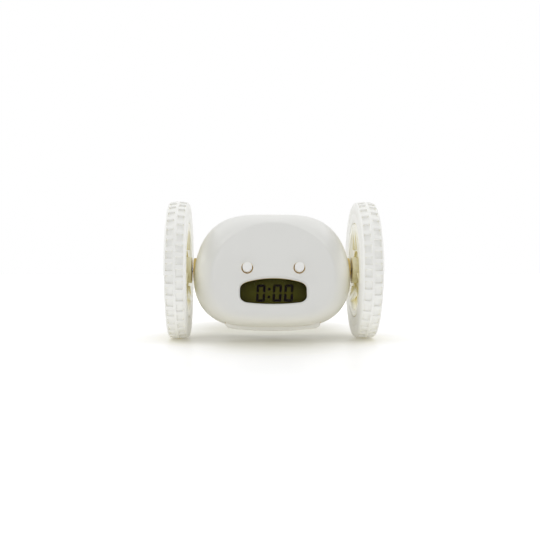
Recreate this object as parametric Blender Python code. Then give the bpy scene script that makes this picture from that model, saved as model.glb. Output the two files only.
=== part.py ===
# Rolling alarm clock: an egg-shaped clock body hung on one axle between two large driven wheels.
# Metres, +Z up. X is the wheel axis, -Y is the front, z = 0 is the floor under the tyres.

import math

import bmesh
import bpy
from mathutils import Matrix, Vector

MM = 0.001

# The width of the body, which places the wheels, gear trains and housing screws
body_half_width = 50.5 * MM

# Wheels
wheel_radius = 44.5 * MM
wheel_offset = 9.4 * MM
wheel_centre_x = body_half_width + wheel_offset
tread_count = 37
tread_width = 13.0 * MM
pocket_length_share = 0.68
pocket_width = 4.4 * MM
pocket_depth = 1.7 * MM
rib_width = 1.6 * MM
crown_drop = 0.6 * MM
shoulder_drop = 1.9 * MM
rim_radius = 30.3 * MM
rim_inner_radius = 27.6 * MM
rim_face_width = 12.4 * MM
hub_ring_radius = 13.6 * MM
hub_ring_wall = 1.1 * MM
hub_ring_setback = 1.5 * MM
hub_recess_depth = 2.9 * MM
hub_boss_radius = 8.5 * MM
hub_boss_reach = 8.0 * MM
hub_outer_radius = 6.5 * MM
hub_outer_reach = 3.6 * MM
web_thickness = 2.5 * MM
spoke_count = 3
spoke_half_at_hub = 11.0 * MM
spoke_half_at_rim = 9.8 * MM
window_inner_radius = 14.9 * MM
window_outer_radius = 26.5 * MM
rim_segments = 28

# Fits
seat_gap = 0.3 * MM
moving_gap = 0.3 * MM
button_gap = 0.65 * MM
cutter_reach = 60.0 * MM

# Axle and bush
axle_radius = 1.5 * MM
axle_end_inset = 0.2 * MM
wheel_screw_radius = 0.6 * MM
wheel_screw_length = 6.0 * MM
wheel_screw_head_radius = 3.0 * MM
wheel_screw_head_height = 1.6 * MM
bush_radius = 7.8 * MM
bush_flange_radius = 9.0 * MM
bush_flange_setback = 5.5 * MM
bush_flange_thickness = 1.0 * MM
bush_proud = 0.3 * MM

# Body shell, heights are measured from the axle
body_top = 36.1 * MM
body_bottom = -37.1 * MM
body_centre = -7.0 * MM
upper_power = 3.55
lower_power = 3.6
face_power = 2.0
face_power_share = 0.82
front_depth = 32.4 * MM
front_depth_slope = 0.18
front_power = 3.0
rear_depth = 31.5 * MM
rear_power = 2.5
wall = 2.0 * MM
parting_gap = 0.3 * MM
around_count = 36
face_fractions = (0.34, 0.67, 1.0)
dome_steps = 4
rear_steps = 6

# Face plane
face_at_axle = -26.3 * MM
face_slope = 0.23
face_dish = 0.6 * MM

# Display
window_width = 41.4 * MM
window_height = 16.3 * MM
window_bow = 1.7 * MM
window_corner_width = 6.4 * MM
window_corner_height = 4.0 * MM
window_centre = -13.0 * MM
window_chamfer = 0.9 * MM
lens_setback = 1.1 * MM
lens_thickness = 1.4 * MM
lens_flange_border = 1.8 * MM
lens_flange_rise = 1.1 * MM
lens_flange_thickness = 0.8 * MM
lcd_width = 45.4 * MM
lcd_height = 18.8 * MM
lcd_thickness = 2.2 * MM
frame_border = 1.6 * MM
frame_rise = 1.1 * MM
strip_inset = 1.4 * MM
strip_half_width = 1.0 * MM
board_depth = 9.2 * MM
board_thickness = 1.4 * MM
board_side_margin = 3.0 * MM
board_low = -23.4 * MM
board_high = 8.6 * MM
board_post_radius = 2.2 * MM
board_post_clearance = 1.2 * MM
board_post_inset = 2.6 * MM

# Front buttons
eye_x = 16.2 * MM
eye_height = 1.5 * MM
eye_radius = 2.88 * MM
eye_proud = 3.3 * MM
eye_travel = 1.0 * MM
eye_flange_radius = 4.3 * MM
eye_flange_thickness = 0.9 * MM
eye_stem_radius = 1.7 * MM
switch_size = 6.0 * MM
switch_body_height = 2.6 * MM
plunger_height = 0.9 * MM
plunger_radius = 1.6 * MM

# Snooze button
snooze_half_length = 19.6 * MM
snooze_half_width = 10.6 * MM
snooze_sides = 22
snooze_travel = 1.2 * MM
snooze_skirt_border = 1.6 * MM
snooze_skirt_low = 30.0 * MM
snooze_skirt_thickness = 1.2 * MM
snooze_post_radius = 1.8 * MM
snooze_board_top = 22.4 * MM
snooze_board_half_length = 13.0 * MM
snooze_board_half_width = 7.0 * MM
spring_radius = 5.4 * MM
spring_wire = 0.4 * MM
spring_turns = 4
spring_steps_per_turn = 8

# Gear train, places are (y, height) from the axle
gear_module = 0.8 * MM
pinion_teeth = 8
first_teeth = 18
second_teeth = 20
output_teeth = 22
gear_width = 2.2 * MM
gear_step = 2.6 * MM
tooth_gap = 0.24 * MM
tooth_height = 0.85
tooth_root_depth = 1.15
tooth_tip_share = 0.5
tooth_root_share = 1.3
second_direction = math.radians(-50.0)
first_direction = math.radians(217.7)
motor_direction = math.radians(100.0)
gearbox_setback = 19.5 * MM
plate_thickness = 1.4 * MM
gear_clearance = 0.8 * MM
pin_radius = 1.0 * MM
bore_gap = 0.3 * MM
leg_radius = 1.5 * MM
leg_places = ((-8.7 * MM, -9.7 * MM), (2.0 * MM, 11.8 * MM))
plate_axle_margin = 6.0 * MM
plate_pin_margin = 4.6 * MM
plate_leg_margin = 2.6 * MM
motor_radius = 7.75 * MM
motor_length = 22.4 * MM
motor_edge = 0.8 * MM
motor_boss_radius = 3.0 * MM
motor_boss_length = 1.0 * MM
motor_shaft_radius = 1.0 * MM
motor_shaft_depth = 5.0 * MM

# Batteries and their case
cell_radius = 5.25 * MM
cell_length = 44.0 * MM
cell_cap_radius = 1.9 * MM
cell_cap_length = 0.9 * MM
cell_places = (
    (-15.5 * MM, -26.4 * MM),
    (-4.7 * MM, -28.6 * MM),
    (6.1 * MM, -28.6 * MM),
    (16.4 * MM, -24.4 * MM),
)
deck_top = -17.0 * MM
deck_thickness = 1.6 * MM
deck_half_length = 30.7 * MM
deck_overlap = 1.2 * MM
deck_half_width = 17.5 * MM
case_wall_start = 27.2 * MM
case_wall_thickness = 1.4 * MM
case_outline = (
    (-18.4 * MM, -27.4 * MM),
    (-15.0 * MM, -31.0 * MM),
    (10.0 * MM, -31.4 * MM),
    (16.4 * MM, -28.0 * MM),
    (20.2 * MM, -24.0 * MM),
)
contact_thickness = 0.5 * MM
contact_profile = (
    (-18.0 * MM, -22.6 * MM),
    (-18.0 * MM, -27.2 * MM),
    (-14.6 * MM, -30.4 * MM),
    (9.8 * MM, -31.0 * MM),
    (16.0 * MM, -27.8 * MM),
    (19.8 * MM, -24.0 * MM),
    (19.8 * MM, -22.6 * MM),
)
contact_spring_radius = 3.2 * MM
contact_spring_tip_radius = 1.9 * MM
rib_start = 30.65 * MM
rib_thickness = 1.5 * MM
rib_near_y = 9.0 * MM
rib_far_y = 19.0 * MM
cradle_insets = (2.7 * MM, 5.7 * MM)
cradle_plate_gap = 0.2 * MM
cradle_half_length = 1.5 * MM
cradle_half_width = 5.0 * MM
pillar_motor_gap = 2.3 * MM
pillar_half_width = 2.0 * MM

# Battery door
door_half_length = 30.2 * MM
door_half_width = 20.0 * MM
door_low = -38.4 * MM
door_bow = 1.8 * MM
door_bow_steps = 8
door_end_height = -34.8 * MM
door_end_slope = 2.0 * MM
door_inner_wall = 1.6 * MM
door_gap = 0.35 * MM
nub_half_length = 4.6 * MM
nub_half_width = 2.4 * MM
nub_height = 1.3 * MM
nub_edge_slope = 1.0 * MM
nub_y = 13.5 * MM

# Housing screws, set back from the sides of the body
upper_screw_setback = 14.5 * MM
upper_screw_height = 19.0 * MM
lower_screw_setback = 11.7 * MM
lower_screw_height = -24.5 * MM
screw_head_radius = 2.3 * MM
screw_head_height = 1.7 * MM
screw_shank_radius = 1.1 * MM
screw_front_end = -7.0 * MM
screw_tip_room = 0.5 * MM
screw_seat_y = 7.2 * MM
front_post_radius = 2.8 * MM
rear_post_radius = 3.3 * MM
counterbore_radius = 2.6 * MM

# Rear controls and speaker
speaker_height = 6.0 * MM
speaker_radius = 14.0 * MM
speaker_front = 24.2 * MM
speaker_rim_thickness = 1.4 * MM
speaker_cone_radius = 9.0 * MM
speaker_cone_depth = 4.4 * MM
speaker_magnet_radius = 7.5 * MM
speaker_magnet_start = 5.4 * MM
speaker_seat_lip = 1.6 * MM
speaker_seat_border = 1.0 * MM
speaker_depth = 9.6 * MM
grille_hole_radius = 1.0 * MM
grille_pitch = 4.6 * MM
grille_ring_count = 6
rear_row_height = -12.5 * MM
rear_button_x = 12.5 * MM
rear_button_radius = 2.9 * MM
rear_button_proud = 1.2 * MM
rear_board_y = 21.2 * MM
rear_board_thickness = 1.4 * MM
rear_board_half_length = 22.0 * MM
rear_board_half_height = 5.0 * MM
rear_post_x = 19.2 * MM
rear_board_post_radius = 1.8 * MM
slider_travel = 2.0 * MM
slider_half_length = 1.8 * MM
slider_half_height = 1.4 * MM
slider_proud = 1.0 * MM
slider_skirt_half_length = 5.4 * MM
slider_skirt_half_height = 2.6 * MM
slider_skirt_thickness = 3.6 * MM
rear_button_travel = 1.0 * MM
rear_stem_length = 2.6 * MM
rear_stem_radius = 1.6 * MM
rear_flange_border = 1.1 * MM
rear_flange_thickness = 0.9 * MM
edge_break = 0.3 * MM

# Places that follow from the sizes above
bush_flange_end = body_half_width - bush_flange_setback
bush_flange_start = bush_flange_end - bush_flange_thickness
bush_outer_end = body_half_width + bush_proud
inner_plate_start = body_half_width - gearbox_setback
axle_inner_end = inner_plate_start + axle_end_inset
first_plane = inner_plate_start + plate_thickness + gear_clearance
motor_front = inner_plate_start - seat_gap
motor_back = motor_front - motor_length
motor_shaft_start = inner_plate_start - motor_shaft_depth
pillar_half_length = motor_back - pillar_motor_gap
upper_screw = (body_half_width - upper_screw_setback, upper_screw_height)
lower_screw = (body_half_width - lower_screw_setback, lower_screw_height)
cradle_places = (motor_back + cradle_insets[0], motor_front - cradle_insets[1])
board_post_x = lcd_width / 2.0 + seat_gap + frame_border + board_post_radius + board_post_clearance
board_half_width = board_post_x + board_side_margin

# The tyres stand on the small flat of the rib at the very bottom
pitch_angle = 2.0 * math.pi / tread_count
rib_flat_half_angle = (0.5 - pocket_length_share / 2.0) * pitch_angle
axle_height = wheel_radius * math.cos(rib_flat_half_angle)
axle_point = Vector((0.0, 0.0, axle_height))

face_tilt = math.atan(face_slope)
face_normal = Vector((0.0, -math.cos(face_tilt), math.sin(face_tilt)))
face_up = Vector((0.0, math.sin(face_tilt), math.cos(face_tilt)))
face_origin = axle_point + Vector((0.0, face_at_axle, 0.0))


# Scene and material helpers

def clear_scene():
    for item in list(bpy.data.objects):
        bpy.data.objects.remove(item, do_unlink=True)


def make_material(name, colour, roughness, metallic=0.0, transmission=0.0):
    material = bpy.data.materials.new(name)
    material.use_nodes = True
    shader = material.node_tree.nodes["Principled BSDF"]
    shader.inputs["Base Color"].default_value = (*colour, 1.0)
    shader.inputs["Roughness"].default_value = roughness
    shader.inputs["Metallic"].default_value = metallic
    shader.inputs["Transmission Weight"].default_value = transmission
    material.diffuse_color = (*colour, 1.0)
    return material


def object_from(bm, name):
    bmesh.ops.recalc_face_normals(bm, faces=bm.faces)
    mesh = bpy.data.meshes.new(name)
    bm.to_mesh(mesh)
    bm.free()
    item = bpy.data.objects.new(name, mesh)
    bpy.context.collection.objects.link(item)
    return item


def boolean(target, tool, operation):
    modifier = target.modifiers.new("shape", "BOOLEAN")
    modifier.operation = operation
    modifier.solver = "EXACT"
    modifier.object = tool
    graph = bpy.context.evaluated_depsgraph_get()
    mesh = bpy.data.meshes.new_from_object(target.evaluated_get(graph))
    target.modifiers.clear()
    target.data = mesh
    bpy.data.objects.remove(tool, do_unlink=True)
    return target


def cut(target, *tools):
    for tool in tools:
        boolean(target, tool, "DIFFERENCE")
    return target


def fuse(target, *tools):
    for tool in tools:
        boolean(target, tool, "UNION")
    return target


def finish(item, name, material, origin=None, sharp_angle=30.0):
    item.name = name
    item.data.name = name
    item.data.materials.clear()
    item.data.materials.append(material)
    if origin is not None:
        item.data.transform(Matrix.Translation(-origin))
        item.location = origin
    item.data.shade_smooth()
    item.data.set_sharp_from_angle(angle=math.radians(sharp_angle))
    return item


# Shape helpers

def turned(name, profile, segments, place, closed=False, turn=0.0):
    """Revolve (along, radius) pairs about the local Z axis of place."""
    bm = bmesh.new()
    rings = []
    for along, radius in profile:
        if radius <= 0.0:
            rings.append([bm.verts.new(place @ Vector((0.0, 0.0, along)))])
            continue
        ring = []
        for index in range(segments):
            angle = turn + 2.0 * math.pi * index / segments
            point = Vector((radius * math.cos(angle), radius * math.sin(angle), along))
            ring.append(bm.verts.new(place @ point))
        rings.append(ring)
    pairs = list(zip(rings, rings[1:]))
    if closed:
        pairs.append((rings[-1], rings[0]))
    for first, second in pairs:
        for index in range(segments):
            after = (index + 1) % segments
            corners = []
            for vertex in (first[index % len(first)], first[after % len(first)],
                           second[after % len(second)], second[index % len(second)]):
                if vertex not in corners:
                    corners.append(vertex)
            if len(corners) > 2:
                bm.faces.new(corners)
    return object_from(bm, name)


def drum(name, radius, start, end, segments, place, turn=0.0):
    profile = ((start, 0.0), (start, radius), (end, radius), (end, 0.0))
    return turned(name, profile, segments, place, turn=turn)


def tube(name, inner, outer, start, end, segments, place, turn=0.0):
    profile = ((start, inner), (start, outer), (end, outer), (end, inner))
    return turned(name, profile, segments, place, closed=True, turn=turn)


def slab(name, outline, start, end, place, end_outline=None):
    """Extrude an outline of (u, v) pairs along the local Z axis of place."""
    if end_outline is None:
        end_outline = outline
    bm = bmesh.new()
    low = [bm.verts.new(place @ Vector((u, v, start))) for u, v in outline]
    high = [bm.verts.new(place @ Vector((u, v, end))) for u, v in end_outline]
    bm.faces.new(low)
    bm.faces.new(high)
    count = len(low)
    for index in range(count):
        after = (index + 1) % count
        bm.faces.new((low[index], low[after], high[after], high[index]))
    return object_from(bm, name)


def block(name, low, high):
    outline = ((low[0], low[1]), (high[0], low[1]), (high[0], high[1]), (low[0], high[1]))
    return slab(name, outline, low[2], high[2], Matrix.Identity(4))


def ellipse(half_u, half_v, count):
    angles = [2.0 * math.pi * index / count for index in range(count)]
    return [(half_u * math.cos(angle), half_v * math.sin(angle)) for angle in angles]


def rectangle(half_u, half_v, centre_v=0.0):
    return [(-half_u, centre_v - half_v), (half_u, centre_v - half_v),
            (half_u, centre_v + half_v), (-half_u, centre_v + half_v)]


def hull_of_circles(circles, steps=10):
    """Outline of a plate that wraps (u, v, radius) circles."""
    points = []
    for u, v, radius in circles:
        for du, dv in ellipse(radius, radius, steps):
            points.append((u + du, v + dv))
    points.sort()
    sides = []
    for ordered in (points, points[::-1]):
        side = []
        for point in ordered:
            while len(side) > 1:
                ax, ay = side[-1][0] - side[-2][0], side[-1][1] - side[-2][1]
                bx, by = point[0] - side[-1][0], point[1] - side[-1][1]
                if ax * by - ay * bx > 1e-9:
                    break
                side.pop()
            side.append(point)
        sides.append(side[:-1])
    return sides[0] + sides[1]


# Frames used by the pieces

def side_frame(side, y=0.0, height=0.0):
    """Local Z points outward along the axle on this side, local X is +Y, local Y is up or down."""
    outward = Vector((side, 0.0, 0.0))
    back = Vector((0.0, 1.0, 0.0))
    up = outward.cross(back)
    columns = Matrix((back, up, outward)).transposed().to_4x4()
    return Matrix.Translation(axle_point + Vector((0.0, y, height))) @ columns


def side_outline(side, outline):
    """Turn (y, height) pairs into the local pairs of side_frame."""
    return [(y, height * side) for y, height in outline]


def face_frame(across=0.0, up=0.0):
    """Local X is +X, local Y runs up the face, local Z points out of the face."""
    columns = Matrix((Vector((1.0, 0.0, 0.0)), face_up, face_normal)).transposed().to_4x4()
    origin = face_origin + Vector((across, 0.0, 0.0)) + face_up * up
    return Matrix.Translation(origin) @ columns


def rear_frame(x, height):
    """Local Z points backward, local X is -X, local Y is up."""
    columns = Matrix((Vector((-1.0, 0.0, 0.0)), Vector((0.0, 0.0, 1.0)), Vector((0.0, 1.0, 0.0))))
    origin = axle_point + Vector((x, 0.0, height))
    return Matrix.Translation(origin) @ columns.transposed().to_4x4()


def top_frame(x=0.0, y=0.0):
    return Matrix.Translation(axle_point + Vector((x, y, 0.0)))


# Body surface

def section_power(share, above, front):
    """Squareness of a section, which eases to an ellipse towards the upper edge of the face."""
    if not above:
        return lower_power
    if not front:
        return upper_power
    part = min(max((share - face_power_share) / (1.0 - face_power_share), 0.0), 1.0)
    return face_power + (upper_power - face_power) * part


def section_at(turn, share, inset=0.0, front=True):
    """Point (x, height) of the section that is this share of the outline."""
    cosine = math.cos(turn)
    sine = math.sin(turn)
    above = sine >= 0.0
    reach = body_top - body_centre - inset if above else body_centre - body_bottom - inset
    power = section_power(share, above, front)
    x = math.copysign(share * (body_half_width - inset) * abs(cosine) ** (2.0 / power), cosine)
    return x, body_centre + share * reach * sine


def outline_at(turn, inset=0.0):
    """Point (x, height) of the side outline in the parting plane."""
    return section_at(turn, 1.0, inset)


def even_turns(count, fine=2880):
    """Angles that split the outline into equal lengths, starting at the right-hand side."""
    lengths = [0.0]
    last = outline_at(0.0)
    for index in range(1, fine + 1):
        here = outline_at(2.0 * math.pi * index / fine)
        lengths.append(lengths[-1] + math.dist(last, here))
        last = here
    turns = []
    cursor = 0
    for index in range(count):
        wanted = lengths[-1] * index / count
        while lengths[cursor + 1] < wanted:
            cursor += 1
        part = (wanted - lengths[cursor]) / (lengths[cursor + 1] - lengths[cursor])
        turns.append(2.0 * math.pi * (cursor + part) / fine)
    return turns


def half_depth(height, inset, front):
    if front:
        return front_depth - front_depth_slope * height - inset
    return rear_depth - inset


def dome_y(share, height, inset, front):
    """Depth of the dome where the section is share of the outline."""
    power = front_power if front else rear_power
    depth = half_depth(height, inset, front) * max(0.0, 1.0 - share ** power) ** (1.0 / power)
    return -depth if front else depth


def share_at(x, height, inset, front):
    """Share of the outline on which the point (x, height) lies."""
    half_width = body_half_width - inset
    above = height >= body_centre
    reach = body_top - body_centre - inset if above else body_centre - body_bottom - inset
    low, high = 1e-6, 2.0
    for _ in range(40):
        middle = 0.5 * (low + high)
        power = section_power(middle, above, front)
        across = abs(x) / (middle * half_width)
        up = abs(height - body_centre) / (middle * reach)
        value = across ** power + up ** 2.0
        if value > 1.0:
            low = middle
        else:
            high = middle
    return high


def surface_y(x, height, inset, front):
    return dome_y(min(share_at(x, height, inset, front), 1.0), height, inset, front)


def face_y(height, inset):
    return face_at_axle + face_slope * height + inset / math.cos(face_tilt)


def face_share(turn, inset):
    """Share of the outline at which the face plane meets the dome in this direction."""
    x, height = outline_at(turn, inset)
    low, high = 0.05, 1.0
    for _ in range(40):
        middle = 0.5 * (low + high)
        here = body_centre + middle * (height - body_centre)
        if dome_y(middle, here, inset, True) < face_y(here, inset):
            low = middle
        else:
            high = middle
    return low


def front_rings(turn, inset, fractions, steps):
    """Points of one meridian of the front shell, from the face's middle to the parting plane."""
    edge = face_share(turn, inset)
    points = []
    for fraction in fractions:
        x, here = section_at(turn, edge * fraction, inset)
        dish = face_dish * (1.0 - fraction ** 2.0)
        points.append((x, face_y(here, inset) + dish, here))
    start = math.asin(edge ** (front_power / 2.0))
    for step in range(1, steps + 1):
        angle = start + (math.pi / 2.0 - start) * step / steps
        share = math.sin(angle) ** (2.0 / front_power)
        x, here = section_at(turn, share, inset)
        points.append((x, min(dome_y(share, here, inset, True), -parting_gap / 2.0), here))
    return points


def rear_rings(turn, inset, steps):
    points = []
    for step in range(1, steps + 1):
        share = math.sin(math.pi / 2.0 * step / steps) ** (2.0 / rear_power)
        x, here = section_at(turn, share, inset, False)
        points.append((x, max(dome_y(share, here, inset, False), parting_gap / 2.0), here))
    return points


def dome_sheet(bm, meridians, pole):
    """One skin of the shell as a fan of meridians, returns its open edge loop."""
    middle = bm.verts.new(axle_point + Vector(pole))
    columns = [[bm.verts.new(axle_point + Vector(point)) for point in meridian] for meridian in meridians]
    count = len(columns)
    for index in range(count):
        here = columns[index]
        after = columns[(index + 1) % count]
        bm.faces.new((middle, here[0], after[0]))
        for row in range(len(here) - 1):
            bm.faces.new((here[row], here[row + 1], after[row + 1], after[row]))
    return [column[-1] for column in columns]


def shell_half(name, front):
    bm = bmesh.new()
    turns = even_turns(around_count)
    loops = []
    skins = ((0.0, face_fractions, dome_steps), (wall, face_fractions[-1:], dome_steps - 1))
    for inset, fractions, steps in skins:
        if front:
            meridians = [front_rings(turn, inset, fractions, steps) for turn in turns]
            pole = (0.0, face_y(body_centre, inset) + face_dish, body_centre)
        else:
            steps = rear_steps if inset == 0.0 else rear_steps - 2
            meridians = [rear_rings(turn, inset, steps) for turn in turns]
            pole = (0.0, half_depth(body_centre, inset, False), body_centre)
        loops.append(dome_sheet(bm, meridians, pole))
    outer, inner = loops
    for index in range(around_count):
        after = (index + 1) % around_count
        bm.faces.new((outer[index], outer[after], inner[after], inner[index]))
    return object_from(bm, name)


def body_solid(name, inset):
    """The whole body as one filled solid, used to trim pieces to its surface."""
    bm = bmesh.new()
    turns = even_turns(around_count)
    columns = []
    for turn in turns:
        column = []
        for step in range(-rear_steps, rear_steps + 1):
            angle = math.pi / 2.0 * (1.0 - abs(step) / (rear_steps + 0.35))
            front = step < 0
            power = front_power if front else rear_power
            share = math.sin(angle) ** (2.0 / power)
            x, here = section_at(turn, share, inset, front)
            column.append((x, dome_y(share, here, inset, front), here))
        columns.append([bm.verts.new(axle_point + Vector(point)) for point in column])
    poles = [bm.verts.new(axle_point + Vector((0.0, dome_y(0.0, body_centre, inset, front), body_centre)))
             for front in (True, False)]
    for index in range(around_count):
        here = columns[index]
        after = columns[(index + 1) % around_count]
        bm.faces.new((poles[0], here[0], after[0]))
        bm.faces.new((poles[1], here[-1], after[-1]))
        for row in range(len(here) - 1):
            bm.faces.new((here[row], here[row + 1], after[row + 1], after[row]))
    return object_from(bm, name)


# Openings shared by the pieces that fill them

def pillow(half_width, half_height, bow, corner_width, corner_height, count=3):
    """Rounded oblong whose long sides bow outward."""
    points = []
    for quarter in range(4):
        sign_u = 1.0 if quarter in (0, 3) else -1.0
        sign_v = 1.0 if quarter in (0, 1) else -1.0
        steps = range(count + 1)
        if quarter in (1, 3):
            steps = reversed(steps)
        for step in steps:
            angle = math.pi / 2.0 * step / count
            u = half_width - corner_width + corner_width * math.cos(angle)
            v = half_height - bow - corner_height + corner_height * math.sin(angle)
            points.append((sign_u * u, sign_v * v))
        if quarter in (0, 2):
            for u in (0.45, 0.0, -0.45):
                along = sign_u * u * (half_width - corner_width) * 1.6
                rise = bow * (1.0 - (along / (half_width - corner_width * 0.3)) ** 2.0)
                points.append((along, sign_v * (half_height - bow + rise)))
    return points


def window_outline(border):
    return pillow(window_width / 2.0 + border, window_height / 2.0 + border,
                  window_bow, window_corner_width + border, window_corner_height + border)


def gear_outline(teeth, turn):
    """Four points for each tooth, thinned so that the flanks of a pair never touch."""
    pitch_radius = gear_module * teeth / 2.0
    root = pitch_radius - tooth_root_depth * gear_module
    tip = pitch_radius + tooth_height * gear_module
    half_tooth = math.pi * gear_module / 4.0 - tooth_gap / 2.0
    flank = ((root, half_tooth * tooth_root_share), (tip, half_tooth * tooth_tip_share))
    points = []
    for tooth in range(teeth):
        centre = turn + 2.0 * math.pi * tooth / teeth
        points += [(radius, centre - half / radius) for radius, half in flank]
        points += [(radius, centre + half / radius) for radius, half in reversed(flank)]
    return [(radius * math.cos(angle), radius * math.sin(angle)) for radius, angle in points]


def polar(distance, angle):
    return Vector((distance * math.cos(angle), distance * math.sin(angle)))


def gear_centres():
    """Centres of the output, second, first gear and the motor as (y, height)."""
    output = Vector((0.0, 0.0))
    second = output + polar(gear_module * (output_teeth + pinion_teeth) / 2.0, second_direction)
    first = second + polar(gear_module * (second_teeth + pinion_teeth) / 2.0, first_direction)
    motor = first + polar(gear_module * (first_teeth + pinion_teeth) / 2.0, motor_direction)
    return output, second, first, motor


def mesh_turns():
    """Turns at which a tooth of each larger gear stands in a gap of its pinion."""
    half_tooth = math.pi / pinion_teeth
    wheels = (second_direction, first_direction, motor_direction)
    pinions = [direction + math.pi + half_tooth for direction in wheels]
    return wheels, pinions


def gear(name, teeth, turn, start, side, centre, bore, pinion_turn=None):
    outline = side_outline(side, gear_outline(teeth, turn))
    place = side_frame(side, centre.x, centre.y)
    item = slab(name, outline, start, start + gear_width, place)
    end = start + gear_width
    if pinion_turn is not None:
        pinion = side_outline(side, gear_outline(pinion_teeth, pinion_turn))
        end = start + gear_step + gear_width
        fuse(item, slab("pinion", pinion, start + gear_width / 2.0, end, place))
    margin = gear_width
    return cut(item, drum("bore", bore, start - margin, end + margin, 8, place))


# Wheel pieces

def tyre(name, side):
    """Two staggered rows of pockets, each half of the tyre has its own stations around."""
    bm = bmesh.new()
    half_rib = rib_width / 2.0
    row_outer = half_rib + pocket_width
    half_width = tread_width / 2.0
    seat_radius = rim_radius + seat_gap
    half_pocket = pocket_length_share / 2.0
    down = -math.pi / 2.0
    place = side_frame(side)

    def vertex(angle, along, radius):
        height = radius * math.sin(angle)
        point = Vector((radius * math.cos(angle), height * side, wheel_centre_x + along))
        return bm.verts.new(place @ point)

    def ring(angles, along, radius):
        return [vertex(angle, along, radius) for angle in angles]

    def join(first, second):
        count = len(first)
        for index in range(count):
            after = (index + 1) % count
            bm.faces.new((first[index], first[after], second[after], second[index]))

    row_angles = {}
    for row, offset in ((-1, 0.0), (1, 0.5)):
        angles = []
        for tooth in range(tread_count):
            for share in (-half_pocket, half_pocket):
                angles.append(down + (tooth + offset + share) * pitch_angle)
        row_angles[row] = angles
    first_angle = row_angles[-1][0]
    rib_angles = sorted(row_angles[-1] + row_angles[1],
                        key=lambda angle: (angle - first_angle) % (2.0 * math.pi))

    rib_loops = {}
    seats = {}
    for row in (-1, 1):
        angles = row_angles[row]
        rib = {angle: vertex(angle, row * half_rib, wheel_radius) for angle in rib_angles}
        rib_loops[row] = [rib[angle] for angle in rib_angles]
        outer = ring(angles, row * row_outer, wheel_radius - crown_drop)
        low_inner = ring(angles, row * half_rib, wheel_radius - pocket_depth)
        low_outer = ring(angles, row * row_outer, wheel_radius - crown_drop - pocket_depth)
        count = len(angles)
        for tooth in range(tread_count):
            start = 2 * tooth
            end = start + 1
            after = (end + 1) % count
            wrap = rib_angles.index(angles[start])
            top = [rib_loops[row][(wrap + step) % len(rib_angles)] for step in range(4)]
            bm.faces.new(top + [low_inner[end], low_inner[start]])
            bm.faces.new((outer[start], outer[end], low_outer[end], low_outer[start]))
            bm.faces.new((low_inner[start], low_inner[end], low_outer[end], low_outer[start]))
            bm.faces.new((rib[angles[start]], low_inner[start], low_outer[start], outer[start]))
            bm.faces.new((rib[angles[end]], low_inner[end], low_outer[end], outer[end]))
            bm.faces.new((rib[angles[end]], rib[angles[after]], outer[after], outer[end]))
        profile = (
            (half_width, wheel_radius - shoulder_drop),
            (half_width, seat_radius),
        )
        last = outer
        for along, radius in profile:
            here = ring(angles, row * along, radius)
            join(last, here)
            last = here
        seats[row] = (angles, last)
    join(rib_loops[-1], rib_loops[1])
    first_angles, first = seats[-1]
    second_angles, second = seats[1]
    count = len(first)
    for index in range(count):
        after = (index + 1) % count
        bm.faces.new((first[index], first[after], second[index]))
        bm.faces.new((first[after], second[after], second[index]))
    return object_from(bm, name)


def rim(name, side):
    face = rim_face_width / 2.0
    web_inner = face - hub_ring_setback
    recess = face - hub_recess_depth
    profile = (
        (-hub_boss_reach, axle_radius + seat_gap),
        (-hub_boss_reach, hub_boss_radius),
        (-recess, hub_boss_radius),
        (-recess, hub_ring_radius - hub_ring_wall),
        (-web_inner, hub_ring_radius - hub_ring_wall),
        (-web_inner, hub_ring_radius),
        (-face, rim_inner_radius),
        (-face, rim_radius),
        (face, rim_radius),
        (face, rim_inner_radius),
        (-face + web_thickness, rim_inner_radius),
        (-web_inner + web_thickness, hub_ring_radius),
        (-recess + web_thickness, hub_outer_radius),
        (hub_outer_reach, hub_outer_radius),
        (hub_outer_reach, axle_radius + seat_gap),
    )
    place = side_frame(side) @ Matrix.Translation((0.0, 0.0, wheel_centre_x))
    item = turned(name, profile, rim_segments, place, closed=True)
    for index in range(spoke_count):
        spoke_turn = math.pi / 2.0 + 2.0 * math.pi * index / spoke_count
        centre = spoke_turn + math.pi / spoke_count
        outline = []
        for radius, half, steps in ((window_inner_radius, spoke_half_at_hub, 2),
                                    (window_outer_radius, spoke_half_at_rim, 6)):
            spread = math.pi / spoke_count - math.asin(half / radius)
            arc = []
            for step in range(steps + 1):
                angle = centre - spread + 2.0 * spread * step / steps
                arc.append((radius * math.cos(angle), radius * math.sin(angle)))
            outline.extend(arc if radius == window_inner_radius else arc[::-1])
        window = slab("window", side_outline(side, outline), -face - web_thickness, face, place)
        cut(item, window)
    return item


# Build

clear_scene()

shell_plastic = make_material("shell_plastic", (0.80, 0.80, 0.78), 0.38)
button_plastic = make_material("button_plastic", (0.84, 0.84, 0.82), 0.35)
tyre_rubber = make_material("tyre_rubber", (0.78, 0.78, 0.74), 0.62)
rim_plastic = make_material("rim_plastic", (0.74, 0.73, 0.62), 0.42)
window_plastic = make_material("window_plastic", (0.35, 0.34, 0.20), 0.06, transmission=0.9)
lcd_glass = make_material("lcd_glass", (0.045, 0.040, 0.010), 0.15)
board_green = make_material("board_green", (0.02, 0.16, 0.06), 0.45)
gear_plastic = make_material("gear_plastic", (0.82, 0.80, 0.72), 0.40)
inner_plastic = make_material("inner_plastic", (0.70, 0.70, 0.68), 0.50)
steel = make_material("steel", (0.62, 0.62, 0.63), 0.28, metallic=1.0)
brass = make_material("brass", (0.78, 0.58, 0.24), 0.30, metallic=1.0)
dark_plastic = make_material("dark_plastic", (0.03, 0.03, 0.03), 0.45)
cell_jacket = make_material("cell_jacket", (0.05, 0.05, 0.06), 0.30)
connector_rubber = make_material("connector_rubber", (0.30, 0.30, 0.32), 0.70)

names = {-1: "left", 1: "right"}

# Shells with their posts, ribs and openings

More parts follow.
